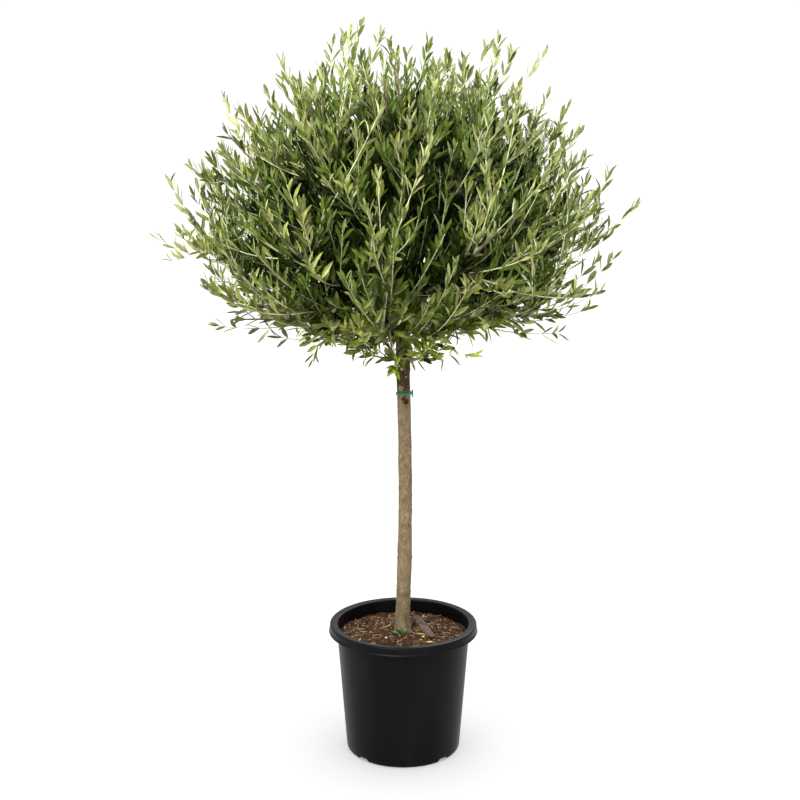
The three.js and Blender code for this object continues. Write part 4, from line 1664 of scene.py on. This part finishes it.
    def shoot_from(
        self, parent: Shoot, share: float, roll: float, length: float, flush: Flush
    ) -> Optional[Shoot]:
        """Grows a shoot as long as it can be within the crown.

        Args:
            parent: The stem or twig that it grows on.
            share: Where on the parent.
            roll: Its side of the parent, in degrees.
            length: Its greatest length.
            flush: The flush that it belongs to.

        Returns:
            The shoot, or None where there is no room for one.
        """
        foot = parent.at(share)
        lean = math.radians(self.angle + self.rng.normal(0, self.angle_scatter))
        direction = parent.tangent(share) * math.cos(lean) + parent.side(share, roll) * math.sin(lean)
        direction = unit(direction + unit(foot - self.centre) * self.outward + UP * self.upward)
        fill = lerp(flush.lowest_fill, flush.highest_fill, self.rng.uniform() ** self.fill_ease)
        while length >= flush.shortest:
            tip = foot + direction * length + UP * self.curl * length
            leaf_tip = tip + unit(tip - foot) * self.habit.length * 0.5
            if self.plan.crown.depth(leaf_tip) <= fill and self.fits(leaf_tip):
                return Shoot(foot, foot + direction * length * self.bend, tip)
            length *= self.shorten
        return None

    def shoots_on(self, parent: Spray, flush: Flush) -> list[Spray]:
        """Returns a flush of leafy shoots along a stem or a twig, each on the side with the most room."""
        made: list[Spray] = []
        count = int(parent.shoot.length() / flush.spacing)
        leaves = (flush.leaf_spacing, flush.leaf_size, flush.outer)
        for i in range(count):
            share = (i + self.rng.uniform(*self.joint_vary)) / count
            if share > self.last_joint:
                continue
            longest = self.rng.uniform(*self.length_vary) * flush.longest
            best, most_room = None, 0.0
            for attempt in range(self.tries):
                vary = self.rng.uniform(-self.roll_vary, self.roll_vary)
                roll = i * GOLDEN_ANGLE + attempt * 360 / self.tries + vary
                shoot = self.shoot_from(parent.shoot, share, roll, longest, flush)
                room = self.room(shoot) if shoot else 0.0
                if room > most_room:
                    best, most_room = shoot, room
            if best:
                made.append(Spray(best, flush.foot_radius, self.shoot_tip, self.shoot_bare, *leaves))
                self.claim(best)
        return made

    def build_boughs(self) -> None:
        """Builds the limbs from the trunk to their tips, with a collar where each leaves it."""
        strands = []
        for spray, limb in zip(self.stems, self.plan.limbs):
            points, radii = astuple(spray.strand(26))
            if limb.bough:
                early = np.linspace(0, 1, 12)
                points = np.concatenate([limb.bough.at(early), points[1:]])
                radii = np.concatenate([lerp(limb.radius, spray.foot_radius, early), radii[1:]])
            away = np.linalg.norm(points - points[0], axis=1) - self.plan.trunk.crown_radius
            collar = 1 + self.collar * np.exp(-np.maximum(away, 0) / self.collar_fade)
            knots = 1 + self.knots * lumps(points * self.knot_scale + 40, 11)
            strands.append(Strand(points, radii * collar * knots))
        finish = wood("limb_bark", (0.11, 0.09, 0.052), (0.045, 0.034, 0.017))
        boughs = tubes("boughs", strands, 12, finish.material())
        settle(boughs, Slot.YOUNG_BARK, *nodes_named("bough_"))

    def build_twigs(self) -> None:
        """Builds the twigs and the finer shoots."""
        outer = [spray for spray in self.shoots if spray.outer]
        inner = [spray for spray in self.shoots if not spray.outer]
        for name, sprays, points, sides, finish in (
            ("twigs", self.twigs, 12, 7, wood("twig_bark", (0.26, 0.25, 0.14), (0.13, 0.12, 0.06))),
            ("shoots", outer, 8, 6, wood("shoot_bark", (0.38, 0.39, 0.23), (0.24, 0.25, 0.12))),
            # painted shade: the inner shoots' bark is much darker than the outer shoots', for the shade
            # inside the crown
            ("inner_shoots", inner, 5, 5, wood("inner_bark", (0.08, 0.065, 0.033), (0.030, 0.023, 0.011))),
        ):
            wands = tubes(name, [spray.strand(points) for spray in sprays], sides, finish.material())
            settle(wands, Slot.YOUNG_BARK, *nodes_named("foliage_"))

    def leaf_placings(self) -> dict[Tint, Placing]:
        """Returns where the leaves of each tint go, from the lowest to the highest."""
        placings: dict[Tint, list[Placing]] = {tint: [] for tint in Tint}
        for spray in [*self.stems, *self.twigs, *self.shoots]:
            parts = 2 if spray.shoot.length() > self.inner.longest else 1
            bounds = [float(share) for share in np.linspace(spray.bare, 1, parts + 1)]
            for start, end in zip(bounds, bounds[1:]):
                place = spray.shoot.at(lerp(start, end, 0.6))
                tint = self.tints.pick(place, spray.outer, self.plan.crown, self.rng)
                placings[tint].append(self.habit.on(spray, start, end, self.rng))
        return {tint: joined_placings(parts).by_height() for tint, parts in placings.items()}

    def build_leaves(self) -> None:
        """Builds the leaves: a piece for each tint, or several, split by height, where it has many leaves."""
        plain = LeafForms(stations=(0.3, 0.72), half_widths=(0.42, 0.44)).build()
        forms = LeafForms().build()
        for tint, placing in self.leaf_placings().items():
            finishes = LEAF_FINISHES[tint].sides(f"leaf_{tint.value}")
            kind = plain if tint is Tint.DEEP else forms
            total = len(placing.places)
            count = math.ceil(total / self.most_leaves)
            for i, rows in enumerate(np.array_split(np.arange(total), count)):
                name = f"leaves_{tint.value}" + (f"_{i + 1}" if count > 1 else "")
                leaves = scattered(name, placing.taking(rows), kind, *finishes)
                settle(leaves, Slot.FOLIAGE, *nodes_named("foliage_"))
            LOG.info("%d leaves of the tint %s", total, tint.value)
        clear_forms(plain)
        clear_forms(forms)

    def build(self) -> None:
        """Builds all of the crown's pieces."""
        self.build_boughs()
        self.build_twigs()
        self.build_leaves()


# ---- Pot, mulch and tie ----


@dataclass
class Pot:
    """A round nursery pot with a rolled rim, a skirt under it, and drain notches at its foot."""

    height: float = 299 * MM
    foot_radius: float = 130 * MM
    neck_radius: float = 151.5 * MM
    wall: float = 2.4 * MM
    corner: float = 6 * MM
    floor: float = 3 * MM
    rim_radius: float = 168 * MM
    lip_radius: float = 170 * MM
    rim_drop: float = 19.5 * MM
    rim_round: float = 4.5 * MM
    rim_wall: float = 2.6 * MM
    notches: int = 4
    first_notch: float = 45
    notch_width: float = 28 * MM
    notch_height: float = 6 * MM
    notch_depth: float = 16 * MM
    sides: int = 288

    def wall_radius(self, height: float) -> float:
        """Returns the outside radius of the wall at a height."""
        return lerp(self.foot_radius, self.neck_radius, height / (self.height - self.rim_drop))

    def profile(self) -> list[Pair]:
        """Returns the pot's section, anticlockwise from the underside's centre to the floor's."""
        top, skirt = self.height, self.height - self.rim_drop
        edge = self.wall_radius(0) - self.corner
        inner_rim = self.neck_radius + 1 * MM
        recess = self.foot_radius - self.notch_depth
        outer = [(self.wall_radius(h), h) for h in np.linspace(7 * MM, skirt - 2 * MM, 30)]
        inner = [(self.wall_radius(h) - self.wall, h) for h in np.linspace(top - 24 * MM, 8 * MM, 24)]
        return [
            (0, 0),
            (recess - 1 * MM, 0),
            (recess, 0),
            (edge - 3 * MM, 0),
            *arc((edge, self.corner), self.corner, -90, -8, 8),
            *outer,
            (self.wall_radius(skirt) + 0.2 * MM, skirt + self.rim_wall),
            (inner_rim + self.rim_wall, top - self.rim_wall),
            (self.rim_radius - self.rim_wall - 1 * MM, top - self.rim_wall - 1 * MM),
            (self.rim_radius - self.rim_wall, top - self.rim_round),
            (self.lip_radius - self.rim_wall, skirt + 0.6 * MM),
            (self.lip_radius - self.rim_wall * 0.7, skirt),
            (self.lip_radius - 0.5 * MM, skirt),
            *arc((self.lip_radius - 0.9 * MM, skirt + 0.9 * MM), 0.9 * MM, -50, 60, 4),
            (self.rim_radius + 0.25 * MM, skirt + 3.2 * MM),
            (self.rim_radius - 0.1 * MM, skirt + 4.5 * MM),
            (self.rim_radius, skirt + 9 * MM),
            *arc((self.rim_radius - self.rim_round, top - self.rim_round), self.rim_round, 0, 90, 9),
            (self.rim_radius - self.rim_round - 4 * MM, top - 0.25 * MM),
            (inner_rim + 3 * MM, top - 0.6 * MM),
            *arc((inner_rim, top - 4 * MM), 3 * MM, 75, 180, 7),
            *inner,
            *arc((self.wall_radius(6 * MM) - self.wall - 3 * MM, self.floor + 3 * MM), 3 * MM, 0, -90, 4),
            (recess, self.floor),
            (recess - 1 * MM, self.floor),
            (0, self.floor),
        ]

    def build(self) -> None:
        """Turns the section, presses the notches up into the foot, and settles the pot."""
        vertices, faces = turned(self.profile(), self.sides)
        radius = np.hypot(vertices[:, 0], vertices[:, 1])
        angle = np.degrees(np.arctan2(vertices[:, 1], vertices[:, 0]))
        spread = 360 / self.notches
        off = np.abs((angle - self.first_notch + spread / 2) % spread - spread / 2)
        half = math.degrees(self.notch_width / 2 / self.foot_radius)
        window = smoothstep((half + 0.7 - off) / 1.4)
        outside = smoothstep((radius - (self.foot_radius - self.notch_depth - 1 * MM)) / (1 * MM))
        fade = np.clip(1 - vertices[:, 2] / (2 * self.notch_height), 0, 1)
        vertices[:, 2] += self.notch_height * window * outside * fade
        finish = plastic("pot_black", (0.005, 0.005, 0.005), (0.0022, 0.0022, 0.0024), 0.36, 0.08)
        settle(piece_from("pot_shell", vertices, faces, finish.material()), Slot.POT, "pot")


@dataclass(frozen=True)
class ChipKind:
    """One kind of loose piece on the mulch."""

    name: str
    count: int
    smallest: float
    largest: float
    slender: float
    finish: MatFinish


@dataclass
class Slab:
    """The long flat piece of bark that lies right of the trunk, arched across and rough on top."""

    start: Pair = (29 * MM, 96 * MM)
    end: Pair = (66 * MM, -44 * MM)
    half_width: float = 10.5 * MM
    thickness: float = 4 * MM
    steps: int = 26
    lanes: int = 9
    wander: float = 1.6 * MM
    arch: float = 1.6 * MM
    rough: float = 0.9 * MM
    lift: float = 1.5 * MM

    def top(self, height: float) -> Array:
        """Returns the corners of its upper side, step by step, for a bed of a height."""
        start, end = np.array(self.start), np.array(self.end)
        along = unit(end - start)
        across = np.array([-along[1], along[0]])
        rows = []
        for i in range(self.steps):
            share = i / (self.steps - 1)
            ends = math.sqrt(max(1 - abs(2 * share - 1) ** 6, 0.02))
            for j in range(self.lanes):
                aside = (2 * j / (self.lanes - 1) - 1) * self.half_width * ends
                place = start + (end - start) * share + across * aside
                place = place + across * self.wander * lumps(np.array([[share * 7, 0, 5]]), 31)[0]
                arch = self.arch * (1 - (aside / self.half_width) ** 2)
                rough = self.rough * lumps(np.array([[share * 12, j * 0.8, 2]]), 32)[0]
                rows.append((*place, height + arch + rough + self.lift))
        return np.array(rows)

    def faces(self) -> Faces:
        """Returns the faces: the top, the underside and the edge all round."""
        lanes, count = self.lanes, self.steps * self.lanes
        faces: Faces = []
        for i in range(self.steps - 1):
            for a in range(i * lanes, i * lanes + lanes - 1):
                faces.append((a, a + lanes, a + lanes + 1, a + 1))
                faces.append((count + a, count + a + 1, count + a + lanes + 1, count + a + lanes))
        ring = [*range(lanes), *range(2 * lanes - 1, count, lanes), *range(count - 2, count - lanes - 1, -1)]
        ring += list(range(count - 2 * lanes, 0, -lanes))
        for a, b in zip(ring, [*ring[1:], ring[0]]):
            faces.append((a, b, count + b, count + a))
        return faces

    def build(self, height: float) -> None:
        """Builds the slab on a bed of a height."""
        top = self.top(height)
        finish = mulch("slab_bark", (0.135, 0.100, 0.078), (0.050, 0.035, 0.026), 60)
        corners = np.concatenate([top, top - UP * self.thickness])
        slab = piece_from("bark_slab", corners, self.faces(), finish.material())
        shell = bmesh.new()
        shell.from_mesh(slab.data)
        write_shell(shell, slab.data)
        settle(slab, Slot.COMPOST, "soil")


@dataclass
class MulchBed:
    """Bark mulch: an uneven bed with chips, crumbs and fibres, and the few things that lie on it."""

    pot: Pot
    trunk: Trunk
    edge_height: float = 270 * MM
    mound_height: float = 276 * MM
    mound_radius: float = 52 * MM
    clearance: float = 0.9 * MM
    underside: float = 14 * MM
    sides: int = 260
    rings: int = 96
    seed: int = 11
    mound_end: float = 1.9
    mound_share: float = 0.35
    sunk: float = 1.5 * MM
    chip_shapes: int = 8
    crumb_shapes: int = 5
    fibres: int = 120
    fallen_seed: int = 3
    kinds: tuple[ChipKind, ...] = (
        ChipKind("bark_chips", 900, 4 * MM, 15 * MM, 0.5,
                 mulch("chip_brown", (0.185, 0.095, 0.050), (0.060, 0.028, 0.014))),
        ChipKind("dark_chips", 700, 3 * MM, 12 * MM, 0.6,
                 mulch("chip_dark", (0.050, 0.030, 0.018), (0.014, 0.008, 0.005))),
        ChipKind("tan_chips", 300, 3 * MM, 11 * MM, 0.4,
                 mulch("chip_tan", (0.38, 0.235, 0.125), (0.18, 0.10, 0.050))),
        ChipKind("pale_chips", 84, 3 * MM, 12 * MM, 0.5,
                 mulch("chip_pale", (0.70, 0.52, 0.36), (0.45, 0.30, 0.19))),
    )

    curled: tuple[Triple, ...] = (
        (0.5, -0.8, 0.6), (0.6, -2.6, 0.9), (0.6, 2.3, -0.9),
        (0.7, -2.9, -0.6), (0.4, 1.6, 0.9), (0.5, -1.8, 0.4),
    )
    fallen: tuple[Triple, ...] = (
        (-55, 2, 31), (26, -28, 23), (40, -46, 18), (48, -74, 22),
        (98, 30, 20), (-96, -40, 18), (12, 110, 26), (-20, 84, 22),
    )
    fallen_aims: tuple[Triple, ...] = (
        (0.85, 0.30, 0.32), (0.85, -0.35, 0.25), (0.55, -0.70, 0.1), (0.9, 0.1, 0.15),
    )
    fallen_face: Triple = (0.2, -0.75, 0.6)
    seedling_place: Pair = (-7 * MM, -22 * MM)
    seedling_blades: tuple[Triple, ...] = (
        (-165, 34, 25), (-120, 58, 27), (-75, 74, 23), (-35, 48, 25), (-95, 30, 18),
    )

    def inside(self, height: float) -> float:
        """Returns the bed's radius at a height, just clear of the pot's wall."""
        return self.pot.wall_radius(height) - self.pot.wall - self.clearance

    def surface(self, places: Array) -> Array:
        """Returns the bed's height at places given by X and Y."""
        slope = lerp(self.edge_height, self.mound_height, self.mound_share)
        steps = [0, self.mound_radius, self.mound_radius * self.mound_end, self.inside(self.edge_height)]
        levels = [self.mound_height, self.mound_height, slope, self.edge_height]
        base = np.interp(np.hypot(places[:, 0], places[:, 1]), steps, levels)
        flat = np.stack([places[:, 0], places[:, 1], np.zeros(len(places))], axis=1) + 3
        rough = 3.0 * MM * lumps(flat * 28, 21) + 2.2 * MM * lumps(flat * 75, 22)
        return base + rough + 1.1 * MM * lumps(flat * 180, 23) + 0.6 * MM * lumps(flat * 420, 24) - self.sunk

    def build_bed(self) -> Object:
        """Builds the bed itself."""
        rim = self.inside(self.edge_height)
        radii = rim * np.linspace(1, 0.004, self.rings) ** 0.9
        profile = [(0, self.underside), (self.inside(self.underside) - 3 * MM, self.underside)]
        profile.append((self.inside(0.2), 0.2))
        profile += [(radius, self.edge_height) for radius in [*radii, 0]]
        vertices, faces = turned(profile, self.sides)
        top = vertices[:, 2] > self.edge_height - 1 * MM
        vertices[top, 2] = self.surface(vertices[top, :2])
        finish = mulch("mulch_bed", (0.070, 0.037, 0.020), (0.014, 0.008, 0.004), 110)
        bed = piece_from("mulch_bed", vertices, faces, finish.material())
        settle(bed, Slot.COMPOST, "soil")
        return bed

    def chip_forms(self, rng: Random, count: int, flat: float, corners: int) -> Collection:
        """Returns a collection of broken chips of unit length, as the hulls of scattered corners."""
        meshes = []
        for _ in range(count):
            shell = bmesh.new()
            spread = unit(rng.normal(0, 1, (corners, 3))) * rng.uniform(0.75, 1.0, (corners, 1))
            for point in spread * (0.5, 0.5, 0.5 * flat):
                shell.verts.new(point)
            bmesh.ops.convex_hull(shell, input=shell.verts)
            loose = [corner for corner in shell.verts if not corner.link_faces]
            bmesh.ops.delete(shell, geom=loose, context="VERTS")
            meshes.append(bpy.data.meshes.new("chip"))
            write_shell(shell, meshes[-1])
        return form_collection("chip_form", meshes)

    def spots(self, rng: Random, count: int, margin: float) -> Array:
        """Returns places spread evenly over the bed, off the trunk and a margin off the wall."""
        nearest = self.trunk.reach(self.trunk.ground) + 2 * MM
        farthest = self.inside(self.edge_height) - margin
        radius = np.sqrt(rng.uniform(nearest**2, farthest**2, count))
        angle = rng.uniform(0, 2 * math.pi, count)
        places = np.stack([radius * np.cos(angle), radius * np.sin(angle)], axis=1)
        return np.column_stack([places, self.surface(places)])

    def lying(self, places: Array, sizes: Array, tilt: float, forms: int, rng: Random) -> Placing:
        """Lays forms on the bed at places, each turned at random and tilted a little."""
        count = len(places)
        normal = unit(np.column_stack([rng.normal(0, tilt, (count, 2)), np.ones(count)]))
        along = rng.normal(0, 1, (count, 3))
        along = unit(along - normal * (along * normal).sum(1)[:, None])
        axes = np.stack([along, np.cross(normal, along), normal], axis=1)
        return Placing(places, axes, sizes, rng.integers(0, forms, count))

    def build_chips(self) -> None:
        """Builds the loose chips, one piece for each kind."""
        rng = np.random.default_rng(self.seed)
        forms = self.chip_forms(rng, self.chip_shapes, flat=0.35, corners=13)
        for kind in self.kinds:
            length = kind.smallest + (kind.largest - kind.smallest) * rng.uniform(0, 1, kind.count) ** 2.2
            width = length * rng.uniform(kind.slender * 0.6, kind.slender * 1.5, kind.count)
            places = self.spots(rng, kind.count, 8 * MM)
            places[:, 2] += 0.35 * width * rng.uniform(0, 1, kind.count)
            sizes = np.stack([length, width, width], axis=1)
            placing = self.lying(places, sizes, 0.35, self.chip_shapes, rng)
            chips = scattered(kind.name, placing, forms, kind.finish.material())
            settle(chips, Slot.COMPOST, "soil")
        clear_forms(forms)

    def build_crumbs(self, bed: Object) -> None:
        """Strews fine crumbs over the bed."""
        rng = np.random.default_rng(self.seed + 1)
        forms = self.chip_forms(rng, self.crumb_shapes, flat=0.8, corners=8)
        inputs = {
            "Forms": forms,
            "Density": 42000.0,
            "Smallest": 1.4 * MM,
            "Largest": 4.2 * MM,
            "Seed": 5,
            "Finish": mulch("crumb", (0.130, 0.070, 0.037), (0.020, 0.011, 0.006), 160).material(),
        }
        crumbs = grown(linked("crumbs", bed.data.copy()), crumb_tree(), inputs)
        settle(crumbs, Slot.COMPOST, "soil")
        clear_forms(forms)

    def build_fibres(self) -> None:
        """Builds the loose fibres."""
        rng = np.random.default_rng(self.seed + 2)
        strands = []
        for place in self.spots(rng, self.fibres, 14 * MM):
            angle, length = rng.uniform(0, 2 * math.pi), rng.uniform(6, 24) * MM
            along = np.array([math.cos(angle), math.sin(angle), rng.uniform(-0.05, 0.25)])
            bend = place + along * length * 0.5 + rng.normal(0, 0.16, 3) * length
            curve = Shoot(place, bend, place + along * length).at(np.linspace(0, 1, 6))
            floor = self.surface(curve[:, :2])
            curve[:, 2] = np.maximum(curve[:, 2], floor) + 1 * MM
            strands.append(Strand(curve, np.full(6, rng.uniform(0.3, 0.7) * MM)))
        finish = mulch("fibre", (0.60, 0.42, 0.26), (0.26, 0.16, 0.09))
        settle(tubes("fibres", strands, 4, finish.material()), Slot.COMPOST, "soil")

    def build_fallen(self) -> None:
        """Builds the fallen leaves. The first few lie as they are told, and the others at random."""
        forms = LeafForms(manners=self.curled).build()
        rng = np.random.default_rng(self.seed + self.fallen_seed)
        spots = np.array([(x, y) for x, y, _ in self.fallen]) * MM
        lengths = np.array([length for _, _, length in self.fallen]) * MM
        sizes = np.stack([lengths, lengths * 0.17, lengths * 0.17], axis=1)
        spots = np.column_stack([spots, self.surface(spots) + 4.5 * MM])
        placing = self.lying(spots, sizes, 0.5, len(self.curled), rng)
        for i, aim in enumerate(self.fallen_aims):
            along = unit(np.array(aim))
            normal = unit(np.array(self.fallen_face) - along * np.dot(along, self.fallen_face))
            placing.axes[i] = np.stack([along, np.cross(normal, along), normal])
        yellow = LeafFinish((0.16, 0.150, 0.035), (0.21, 0.195, 0.07), 0.35, 0.5)
        fallen = scattered("fallen_leaves", placing, forms, *yellow.sides("leaf_fallen"))
        settle(fallen, Slot.FOLIAGE, "soil")
        clear_forms(forms)

    def build_seedling(self) -> None:
        """Builds the seedling at the trunk's foot."""
        foot = np.array([*self.seedling_place, self.mound_height - 1 * MM])
        blades = []
        for azimuth, elevation, length in self.seedling_blades:
            direction = heading(azimuth, elevation)
            normal = unit(UP - direction * direction[2])
            axes = np.stack([direction, np.cross(normal, direction), normal])[None]
            size = np.array([[length, length * 0.3, length * 0.3]]) * MM
            blades.append(Placing(foot[None], axes, size, np.array([len(blades)])))
        forms = LeafForms().build()
        green = LeafFinish((0.036, 0.066, 0.018), (0.07, 0.11, 0.04), 0.25, 0.45)
        seedling = scattered("seedling", joined_placings(blades), forms, *green.sides("leaf_seedling"))
        settle(seedling, Slot.FOLIAGE, "soil")
        clear_forms(forms)

    def build(self) -> None:
        """Builds the bed and everything on it."""
        bed = self.build_bed()
        self.build_chips()
        self.build_crumbs(bed)
        self.build_fibres()
        Slab().build(self.mound_height)
        self.build_fallen()
        self.build_seedling()


@dataclass
class Tie:
    """A soft plastic tube tied round the trunk, with a knot and two short ends at its right."""

    trunk: Trunk
    height: float = 0.832
    section: float = 2.5 * MM
    bite: float = 1.1 * MM
    knot: float = 3.4 * MM
    around: int = 120
    sides: int = 14

    def ring(self) -> tuple[Array, list[tuple[int, ...]]]:
        """Returns the band: a flattened tube that follows the bark, with small creases."""
        x, y, z = self.trunk.centre(self.height)
        radius = self.trunk.reach(self.height) + self.section - self.bite
        vertices, faces = [], []
        for i in range(self.around):
            a = 2 * math.pi * i / self.around
            crease = 1 + 0.10 * math.sin(9 * a + 1.3) * math.sin(4 * a)
            tilt = 1.1 * MM * math.cos(a + 0.7)
            for j in range(self.sides):
                b = 2 * math.pi * j / self.sides
                out = radius + self.section * 0.85 * crease * math.cos(b)
                rise = self.section * 1.35 * crease * math.sin(b) + tilt
                vertices.append((x + out * math.cos(a), y + out * math.sin(a), z + rise))
                k, m = (i + 1) % self.around, (j + 1) % self.sides
                faces.append((i * self.sides + j, k * self.sides + j, k * self.sides + m, i * self.sides + m))
        return np.array(vertices), faces

    def build(self) -> None:
        """Builds the band and the knot, and settles them."""
        green = plastic("tie_green", (0.018, 0.240, 0.130), (0.008, 0.150, 0.075), 0.35, 0.25)
        finish = green.material()
        vertices, faces = self.ring()
        settle(piece_from("tie_band", vertices, faces, finish), Slot.TIE, "tie")
        centre = self.trunk.centre(self.height)
        out = self.trunk.reach(self.height) + 2 * self.section - self.bite
        base = centre + np.array([out - 1.5 * MM, 0, 0])
        knot = []
        for i in range(29):
            a = 2 * math.pi * i / 28
            offset = np.array([0.9 * math.sin(a * 2), math.cos(a), 1.1 * math.sin(a)]) * self.knot * 0.62
            knot.append(base + offset + np.array([1.2 * MM, 0, 0]))
        strands = [Strand(np.array(knot), np.full(29, self.section * 0.62))]
        for rise, side in ((-1.0, -0.5), (0.75, 0.7)):
            tip = base + np.array([1.6, 4 * side, 9 * rise]) * MM
            curve = Shoot(base, base + np.array([4.5, side, 4 * rise]) * MM, tip).at(np.linspace(0, 1, 8))
            strands.append(Strand(curve, np.full(8, self.section * 0.6)))
        settle(tubes("tie_knot", strands, 10, finish), Slot.TIE, "tie")


# ---- Studio ----


@dataclass(frozen=True)
class Lamp:
    """A soft square light that looks at the crown and lights the pieces of a collection."""

    name: str
    place: Triple
    size: float
    power: float
    lit: Collection = LIT_BY_LAMPS

    def build(self) -> None:
        """Builds the light."""
        lamp = bpy.data.lights.new(self.name, "AREA")
        lamp.size = self.size
        lamp.energy = self.power
        holder = linked(self.name, lamp)
        holder.light_linking.receiver_collection = self.lit
        holder.location = self.place
        x, y, z = UP - self.place
        holder.rotation_euler = (math.atan2(math.hypot(x, y), -z), 0, math.atan2(-x, y))


@dataclass
class Studio:
    """A plain white floor under soft light, and the camera."""

    distance: float = 3.0
    camera_height: float = 1.4146
    camera_aside: float = -7.4 * MM
    camera_drop: float = 0.197
    focal_pixels: float = 1379.7
    picture_pixels: float = 800
    sensor: float = 36
    world: float = 1.1
    floor_size: float = 30.0
    floor_glow: float = 0.2
    lamps: tuple[Lamp, ...] = (
        Lamp("key", (-1.2, -2.7, 3.4), 1.8, 180),
        Lamp("top", (0.3, 0.1, 3.7), 2.4, 40),
        Lamp("back", (1.2, 2.7, 3.2), 1.8, 110),
        Lamp("crown_key", (-1.2, -2.5, 3.5), 0.7, 195, CROWN),
        Lamp("crown_back", (1.2, 2.3, 3.6), 0.8, 70, CROWN),
        Lamp("crown_left", (-3.4, 0.0, 1.6), 1.0, 450, CROWN),
        Lamp("crown_right", (3.4, 0.2, 1.6), 1.0, 560, CROWN),
    )

    def build_world(self) -> None:
        """Builds the white light from all round."""
        scene = bpy.context.scene
        scene.view_settings.view_transform = "Standard"
        scene.world = bpy.data.worlds.new("studio")
        scene.world.use_nodes = True
        background = scene.world.node_tree.nodes["Background"]
        background.inputs["Color"].default_value = (1, 1, 1, 1)
        background.inputs["Strength"].default_value = self.world

    def build_floor(self) -> None:
        """Builds the floor."""
        paint = Paint("floor_white")
        uneven = paint.blend(paint.noise(Grain(0.6)), (0.93, 0.93, 0.93), (0.95, 0.95, 0.95))
        paint.put("Base Color", uneven)
        paint.put("Roughness", 0.9)
        paint.put("Emission Color", (1.0, 1.0, 1.0, 1.0))
        paint.put("Emission Strength", self.floor_glow)
        half = self.floor_size / 2
        corners = [(-half, -half, 0), (half, -half, 0), (half, half, 0), (-half, half, 0)]
        piece_from("floor", corners, [(0, 1, 2, 3)], paint.material)

    def build_camera(self) -> None:
        """Builds the camera."""
        camera = bpy.data.cameras.new("camera")
        camera.sensor_width = self.sensor
        camera.lens = self.focal_pixels / self.picture_pixels * self.sensor
        holder = linked("camera", camera)
        holder.location = (self.camera_aside, -self.distance, self.camera_height)
        holder.rotation_euler = (math.pi / 2 - self.camera_drop, 0, 0)
        bpy.context.scene.camera = holder

    def build(self) -> None:
        """Builds the world, the lights, the floor and the camera."""
        self.build_world()
        for lamp in self.lamps:
            lamp.build()
        self.build_floor()
        self.build_camera()


def main() -> None:
    """Builds every sub-assembly in order."""
    logging.basicConfig(level=logging.INFO, format="%(name)s %(message)s")
    trunk = Trunk()
    pot = Pot()
    Studio().build()
    pot.build()
    MulchBed(pot, trunk).build()
    trunk.build()
    Tie(trunk).build()
    Canopy(GrowthPlan(trunk)).build()


if __name__ == "__main__":
    main()
